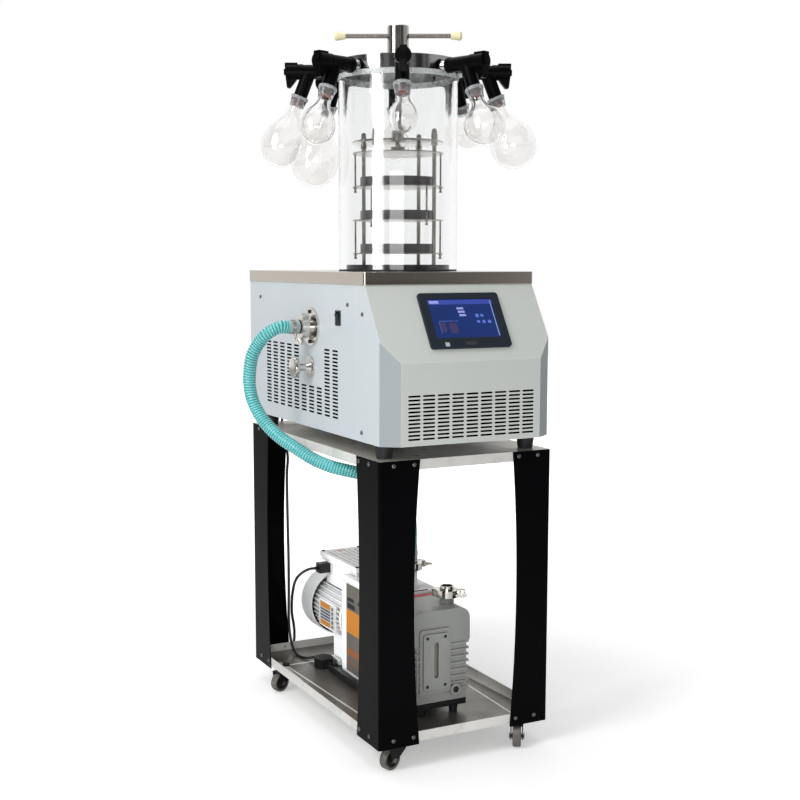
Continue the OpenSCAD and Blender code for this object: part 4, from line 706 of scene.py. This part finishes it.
# ---- Power switch, port, drain ------------------------
# A black rocker in a snap-in frame; a polished stainless port with a bolted flange, ring clamp and
# nozzle; a drain cock with a round knob.
dress("switch_frame", black_moulding)
dress("power_rocker", black_moulding)
polished_steel = finish("polished_steel", (0.62, 0.6, 0.56), 0.14, metal=1.0, drift=0.08, patch=20,
    relief=(300, 10), edge=0.0006, rough_drift=0.04)
turned_steel = finish("turned_steel", (0.58, 0.56, 0.52), 0.22, metal=1.0, drift=0.08, patch=12,
    relief=(500, 20), edge=0.0008, rough_drift=0.05)
for node in ("vacuum_flange", "hose_nozzles", "kf_clamps", "drain_valve"):
    dress(node, polished_steel)

# six socket screws hold the port's flange
screw_black = finish("screw_black", (0.03, 0.028, 0.026), 0.35, metal=0.8, relief=(900, 30))
flange_face, screw_circle = -0.205, 0.033
socket_head = [(0.0041, 0), (0.004, 0.0026), (0.0036, 0.003), (0.0017, 0.003), (0.0017, 0.0012), (0, 0.0012)]
flange_screws = []
for k in range(6):
    turn = math.radians(30 + 60 * k)
    spot = (flange_face - hair, port_y + screw_circle * math.cos(turn),
            port_z + screw_circle * math.sin(turn))
    flange_screws.append(turned("socket_screw", socket_head, toward(spot, (-1, 0, 0)), 24))
piece_of("flange_socket_screws", flange_screws, screw_black)


# The drain knob is turned from bar, with a flat polished face and a finely knurled rim.
def knurled_knob():
    knurls, notch_depth, rim = 144, 0.014, 0.0226
    outline = [(0, 0.0), (0.015, 0.0), (0.0175, 0.0014), (0.0218, 0.0036), (0.023, 0.0046), (0.023, 0.0118),
               (0.0222, 0.013), (0.0208, 0.0136), (0.006, 0.0139), (0, 0.0139)]
    mesh = turned("knurled_knob", outline, segments=knurls)
    for v in mesh.vertices:
        if math.hypot(v.co.x, v.co.y) > rim:
            notch = 1 - notch_depth * (round(math.atan2(v.co.y, v.co.x) / math.tau * knurls) % 2)
            v.co.x *= notch
            v.co.y *= notch
    stem = turned("knob_stem", [(0, -0.0196), (0.0036, -0.0196), (0.0039, -0.019), (0.0039, 0.0002)],
                  segments=32)
    knob = joined("drain_knob_turned", [mesh, stem])
    knob.transform(toward((-0.2303, -0.002, 0.817), (-1, 0, 0)))
    return knob


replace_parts(piece_of("drain_knob_turned", knurled_knob(), polished_steel, "drain_knob"),
    "drain_knob")

# ---- Cold trap and refrigeration ------------------------
# Under the chamber hangs a stainless pot wound with refrigerant pipe; in the case stand the compressor,
# the finned condenser and its fan. Only slots in the panels show them.
machine_black = finish("machine_black", (0.03, 0.03, 0.032), 0.5, relief=(400, 100), edge=0.001)
dress("cold_trap", turned_steel)
for node in ("condensing_unit", "condenser_fan", "trap_ring"):
    dress(node, machine_black)

# ---- Shelf rack ------------------------
# Stainless guide rods stand in the ring and carry a flat cross plate; four thin shelves slide on them,
# each hung from the one above, and round trays stand on the lower three.
shelf_steel = finish("shelf_steel", (0.4, 0.38, 0.36), 0.3, metal=1.0, drift=0.1, relief=(300, 30),
    edge=0.0005)
tray_dark = finish("tray_dark", (0.16, 0.15, 0.15), 0.35, metal=0.9, drift=0.12, relief=(300, 40),
    edge=0.0006)
dress("rack_frame", turned_steel)
dress("rack_shelves", shelf_steel)
dress("rack_trays", tray_dark)

# ---- Chamber ------------------------
# A polished clear acrylic cylinder stands in a black rubber seal and wears a milky silicone one. Its
# turned stainless lid ring carries the port nipples and the press gland, and its own weight holds it.
chamber_y = -0.036
chamber_place = Matrix.Translation((0, chamber_y, 0))
seal_rubber = finish("seal_rubber", (0.015, 0.015, 0.015), 0.55, relief=(500, 50))
acrylic = finish("acrylic", (0.985, 0.99, 0.99), 0.02, drift=0.004, relief=(3, 20), rough_drift=0.0,
    sockets=[("Transmission Weight", 1.0), ("IOR", 1.49)])
foot_seal = [(0.1226, 1.0302), (0.1228, 1.0283), (0.1316, 1.0283), (0.1322, 1.0296), (0.1318, 1.0317),
    (0.123, 1.0317), (0.1226, 1.0302)]
seal_mesh = turned("chamber_foot_seal", foot_seal, chamber_place, 128, 50)
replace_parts(piece_of("chamber_foot_seal", seal_mesh, seal_rubber), "chamber_seals")
# the upper seal is milky silicone of L section, its skirt drawn down over the cylinder's rim
seal_silicone = finish("seal_silicone", (0.8, 0.83, 0.83), 0.28, drift=0.06, patch=20, relief=(500, 40),
    sockets=[("Transmission Weight", 0.45)])
lid_seal = [(0.1226, 1.4513), (0.1321, 1.4513), (0.1322, 1.444), (0.133, 1.4434), (0.1338, 1.444),
    (0.134, 1.453), (0.1336, 1.4546), (0.1226, 1.4547), (0.1226, 1.4513)]
piece_of("chamber_lid_seal", turned("chamber_lid_seal", lid_seal, chamber_place, 128, 50), seal_silicone)
dress("chamber_cylinder", acrylic)
clear_pieces.objects.link(cad["chamber_cylinder"])
lid_steel = finish("lid_steel", (0.52, 0.52, 0.52), 0.13, metal=1.0, drift=0.05, patch=8, relief=(500, 10),
    edge=0.0008, rough_drift=0.03)
dress("manifold_lid", lid_steel)
handle_steel = finish("handle_steel", (0.46, 0.45, 0.43), 0.15, metal=1.0, drift=0.06, patch=10,
    relief=(500, 10), edge=0.0006, rough_drift=0.03)
# The cross bar is plain drawn steel, duller than the turned sleeve, with cream plastic caps pressed on.
bar_steel = finish("bar_steel", (0.2, 0.18, 0.165), 0.34, metal=1.0, drift=0.08, relief=(900, 20))
cap_cream = finish("cap_cream", (0.8, 0.73, 0.46), 0.4, drift=0.05, relief=(700, 60), edge=0.0008)
sleeve_radius, bar_half, cap_length = 0.0255, 0.1405, 0.0252
for face in dress("press_handle", handle_steel, cap_cream, bar_steel).polygons:
    reach = math.hypot(face.center.x, face.center.y - chamber_y)
    if reach > sleeve_radius:
        face.material_index = 1 if reach > bar_half - cap_length else 2

# ---- Port valves ------------------------
# Smooth black rubber bodies pushed on the nipples, each with a lever tap at its end; below each hangs a
# clear silicone collar that grips the neck of a glass flask.
valve_rubber = finish("valve_rubber", (0.002, 0.002, 0.0022), 0.34, relief=(600, 60), edge=0.0012,
    shine=0.05)
clear_silicone = finish("clear_silicone", (0.84, 0.87, 0.89), 0.1, drift=0.05, relief=(300, 30),
    sockets=[("Transmission Weight", 0.92), ("IOR", 1.41)])
flask_glass = finish("flask_glass", (0.955, 0.948, 0.94), 0.015, drift=0.004, relief=(6, 100),
    rough_drift=0.0, sockets=[("Transmission Weight", 1.0), ("IOR", 1.47)])
ports = range(8)
port_height, first_port, branch_out, branch_lean = 1.463, -115, 0.195, 21.5
dress("valve_bodies", valve_rubber)
for port in ports:
    dress("valve_lever_%d" % (port + 1), valve_rubber)


# the line of each port's lower branch, out from the valve
def branch_place(port):
    out = Matrix.Translation((0, chamber_y, port_height)) @ spun(first_port + 45 * port, "Z") @ spun(90, "Y")
    return out @ Matrix.Translation((0, 0, branch_out)) @ spun(90 - branch_lean, "Y")


# Blown flasks of clear glass, two millimetres thick, each with a straight neck and a round bulb.
def blown_flask(port, bulb, hang):
    neck, wall, start, straight, cuts = 0.014, 0.002, 0.0603, 0.085, 24

    def side(inset):
        r0, r1 = neck - inset, bulb - inset
        drop = hang - straight
        ends = (Vector((r0, straight)), Vector((r0, straight + 0.45 * drop)),
                Vector((r1, hang - 0.55 * drop)), Vector((r1, hang)))
        curve = []
        for k in range(1, cuts + 1):
            t = k / cuts
            u = 1 - t
            point = ends[0] * u ** 3 + ends[1] * 3 * u * u * t + ends[2] * 3 * u * t * t + ends[3] * t ** 3
            curve.append((point.x, point.y))
        turns = [math.radians(5 * k) for k in range(1, 18)]
        low = [(r1 * math.cos(turn), hang + r1 * math.sin(turn)) for turn in turns]
        return [(r0, start + 0.0004), (r0, straight)] + curve + low + [(0, hang + r1)]

    lip = [(neck - wall + 0.0004, start), (neck - 0.0004, start)]
    return turned("blown_flask", side(wall)[::-1] + lip + side(0), branch_place(port), 56, 60)


# in millimetres, each flask's bulb radius and how far down its branch the bulb's middle lies
bulbs = [(30, 134), (44.5, 140), (51, 169), (34.5, 128), (40, 146), (55, 198), (46, 172), (38, 146)]
flasks = piece_of("blown_flasks", [blown_flask(port, bulb * millimetre, hang * millimetre)
                                   for port, (bulb, hang) in enumerate(bulbs)], flask_glass)
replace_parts(flasks, "flasks")
clear_pieces.objects.link(flasks)

# A clear flared collar holds each flask, with a frosted rim; a red-brown bung inside seals the stub.
collar_outline = [(0.0081, 0.0592), (0.0081, 0.0576), (0.01, 0.0572), (0.0184, 0.0572), (0.019, 0.058),
    (0.019, 0.0602), (0.0184, 0.064), (0.017, 0.07), (0.016, 0.076), (0.0158, 0.0795), (0.0153, 0.0809),
    (0.0146, 0.0806), (0.0143, 0.079), (0.0143, 0.0612), (0.0138, 0.0601), (0.01, 0.0599), (0.0081, 0.0592)]
collar_rim = [(0.0191, 0.0574), (0.0196, 0.0572), (0.0199, 0.058), (0.0199, 0.0612), (0.0194, 0.0622),
    (0.0186, 0.064), (0.0188, 0.0622), (0.0192, 0.0602), (0.0191, 0.0574)]
bung_outline = [(0.0081, 0.0612), (0.0112, 0.061), (0.0117, 0.0618), (0.0117, 0.073), (0.011, 0.0755),
    (0.006, 0.0762), (0.004, 0.0755), (0.004, 0.0675), (0.0081, 0.0672), (0.0081, 0.0612)]
rim_frosted = finish("rim_frosted", (0.8, 0.83, 0.85), 0.22, drift=0.12, patch=60, relief=(400, 50),
    sockets=[("Transmission Weight", 0.75)])
bung_rubber = finish("bung_rubber", (0.4, 0.17, 0.13), 0.5, drift=0.15, patch=80, relief=(500, 60))
for name, outline, sides, material in (("flask_collar_rings", collar_outline, 64, clear_silicone),
                                       ("flask_collar_rims", collar_rim, 64, rim_frosted),
                                       ("flask_bungs", bung_outline, 40, bung_rubber)):
    fitted = piece_of(name, [turned(name, outline, branch_place(port), sides) for port in ports], material)
    if outline is collar_outline:
        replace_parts(fitted, "flask_collars")

# ---- Vacuum pump ------------------------
# A twin-stage rotary vane pump: an enamelled cast oil box with cooling fins and a sight glass, a white
# block, and a white motor with a terminal box, on black brackets and rubber pads.
# painted shade darkens the hollows of the oil box, block, motor and terminal box, and a painted highlight
# pales the oil box's edges
oil_box_enamel = finish("oil_box_enamel", (0.35, 0.36, 0.345), 0.34, drift=0.06, patch=12, relief=(260, 120),
    edge=0.0016, painted_edge_highlight=0.6, painted_hollow_shade=0.85)
pump_enamel = finish("pump_enamel", (0.88, 0.89, 0.9), 0.34, drift=0.02, patch=6, relief=(260, 100),
    edge=0.0014, painted_hollow_shade=0.7)
box_moulding = finish("box_moulding", (0.88, 0.88, 0.88), 0.4, drift=0.02, relief=(900, 50), edge=0.0014,
    painted_hollow_shade=0.7)
base_paint = finish("base_paint", (0.012, 0.012, 0.013), 0.45, relief=(400, 80), edge=0.001)
sight_oil = finish("sight_oil", (0.17, 0.17, 0.125), 0.1, drift=0.2, patch=30, coat=0.8)
dress("pump_block", pump_enamel)
dress("pump_terminal_box", box_moulding)
dress("pump_base", base_paint)
sight_middle_x, slot_half_width = -0.015, 0.0075
for face in dress("pump_sight_glass", sight_oil, machine_black).polygons:
    if abs(face.center.x - sight_middle_x) > slot_half_width:
        face.material_index = 1
# the drain plug's hexagon socket is dark
plug_x, plug_z, plug_front, plug_socket = 0.035, 0.116, -0.25, 0.0081
for face in dress("pump_oil_box", oil_box_enamel, machine_black).polygons:
    off_axis = math.hypot(face.center.x - plug_x, face.center.z - plug_z)
    if off_axis < plug_socket and face.center.y > plug_front + 0.0002:
        face.material_index = 1
# inside the cowl's open front it is dark
motor_x, motor_z, cowl_front, cowl_gap, cowl_inner = 0.003, 0.188, 0.283, 0.016, 0.0802
for face in dress("pump_motor", pump_enamel, machine_black).polygons:
    off_axis = math.hypot(face.center.x - motor_x, face.center.z - motor_z)
    if cowl_front + 0.0005 < face.center.y < cowl_front + cowl_gap + 0.001 and off_axis < cowl_inner:
        face.material_index = 1
for node in ("pump_block", "pump_motor", "pump_terminal_box"):
    pump_pieces.objects.link(cad[node])

# A sheet of gasket board lies under the inlet's foot; four screws hold the terminal box's lid.
gasket_board = rounded_block("inlet_gasket", (-0.0175, -0.0995, 0.3032), (0.0455, -0.0465, 0.3046), 0.0003)
piece_of("inlet_gasket", gasket_board, machine_black)
box_lid_top = 0.324
lid_screws = []
for x in (-0.044, 0.054):
    for y in (0.087, 0.285):
        one = pan_head()
        one.transform(Matrix.Translation((x, y, box_lid_top + hair)) @ Matrix.Rotation(x + y, 4, "Z"))
        lid_screws.append(one)
piece_of("terminal_box_screws", lid_screws, screw_black)

# A plate on the block's left side carries plain printed fields; another on the motor has plain stripes.
facing_left = Matrix(((0, 0, -1, 0), (-1, 0, 0, 0), (0, 1, 0, 0), (0, 0, 0, 1)))
board_place = Matrix.Translation((-0.069, 0.0135, 0.179)) @ facing_left
pad_place = Matrix.Translation((-0.073, 0.1995, 0.1825)) @ facing_left
plate_grey = finish("plate_grey", (0.22, 0.205, 0.18), 0.35, drift=0.1, patch=16, relief=(500, 20), coat=0.3)
plate_dark, plate_orange, plate_dull_orange, plate_red, plate_blue, plate_white = [
    finish("plate_" + name, colour, 0.35, drift=drift, coat=0.3) for name, colour, drift in (
        ("dark", (0.035, 0.04, 0.05), 0.08), ("orange", (0.86, 0.33, 0.045), 0.06),
        ("dull_orange", (0.52, 0.2, 0.08), 0.12), ("red", (0.55, 0.035, 0.045), 0.06),
        ("blue", (0.045, 0.07, 0.17), 0.06), ("white", (0.82, 0.82, 0.8), 0.03))]
# each plate lies 0.1 mm off its face, and what is printed on it 0.1 mm above that
on_face, on_plate = 0.0001, 0.0002
for name, fields, lift, paint, place, slot in (
        ("board_field", [(-82, -105, 106, 110, 2)], on_face, plate_grey, board_place, "pump_white"),
        ("board_head_bars", [(-76, 68, -40, 77, 0.5), (-76, 51, -34, 63, 0.5), (-20, 68, 60, 77, 0.5)],
         on_plate, plate_dark, board_place, "pump_white"),
        ("board_band", [(-82, -10, 106, 47, 0)], on_plate, plate_orange, board_place, "pump_white"),
        ("board_stripes", [(-82, -65, 106, -47, 0), (-82, -84, 106, -80, 0)], on_plate, plate_dull_orange,
         board_place, "pump_white"),
        ("pad_field", [(-45, -30, 45, 30, 2)], on_face, plate_white, pad_place, "pump_white"),
        ("pad_orange", [(-40, 15, 18, 29, 1), (-40, -29, 18, -17, 1)], on_plate, plate_orange, pad_place,
         "pump_white"),
        ("pad_stripes", [(-40, low, 18, high, 0)
                         for low, high in ((8, 12.5), (0.5, 5), (-7, -2.5), (-14, -10))],
         on_plate, plate_blue, pad_place, "pump_white"),
        ("pad_squares", [(26, low, 34, high, 0.5)
                         for low, high in ((18, 25), (7, 14), (-4, 3), (-16, -8), (-26, -20))],
         on_plate, plate_dark, pad_place, "pump_white"),
        ("seam_stripe", [(-40, -13, 60, 7, 0)], on_face, plate_red,
         Matrix.Translation((0.003, -0.112, 0.297)), "pump_grey"),
        ("box_spot", [(-11, -7, 11, 7, 6.9)], on_face, plate_dull_orange,
         Matrix.Translation((-0.002, 0.274, box_lid_top)), "pump_white")):
    printed_fields(name, fields, lift, place, paint)
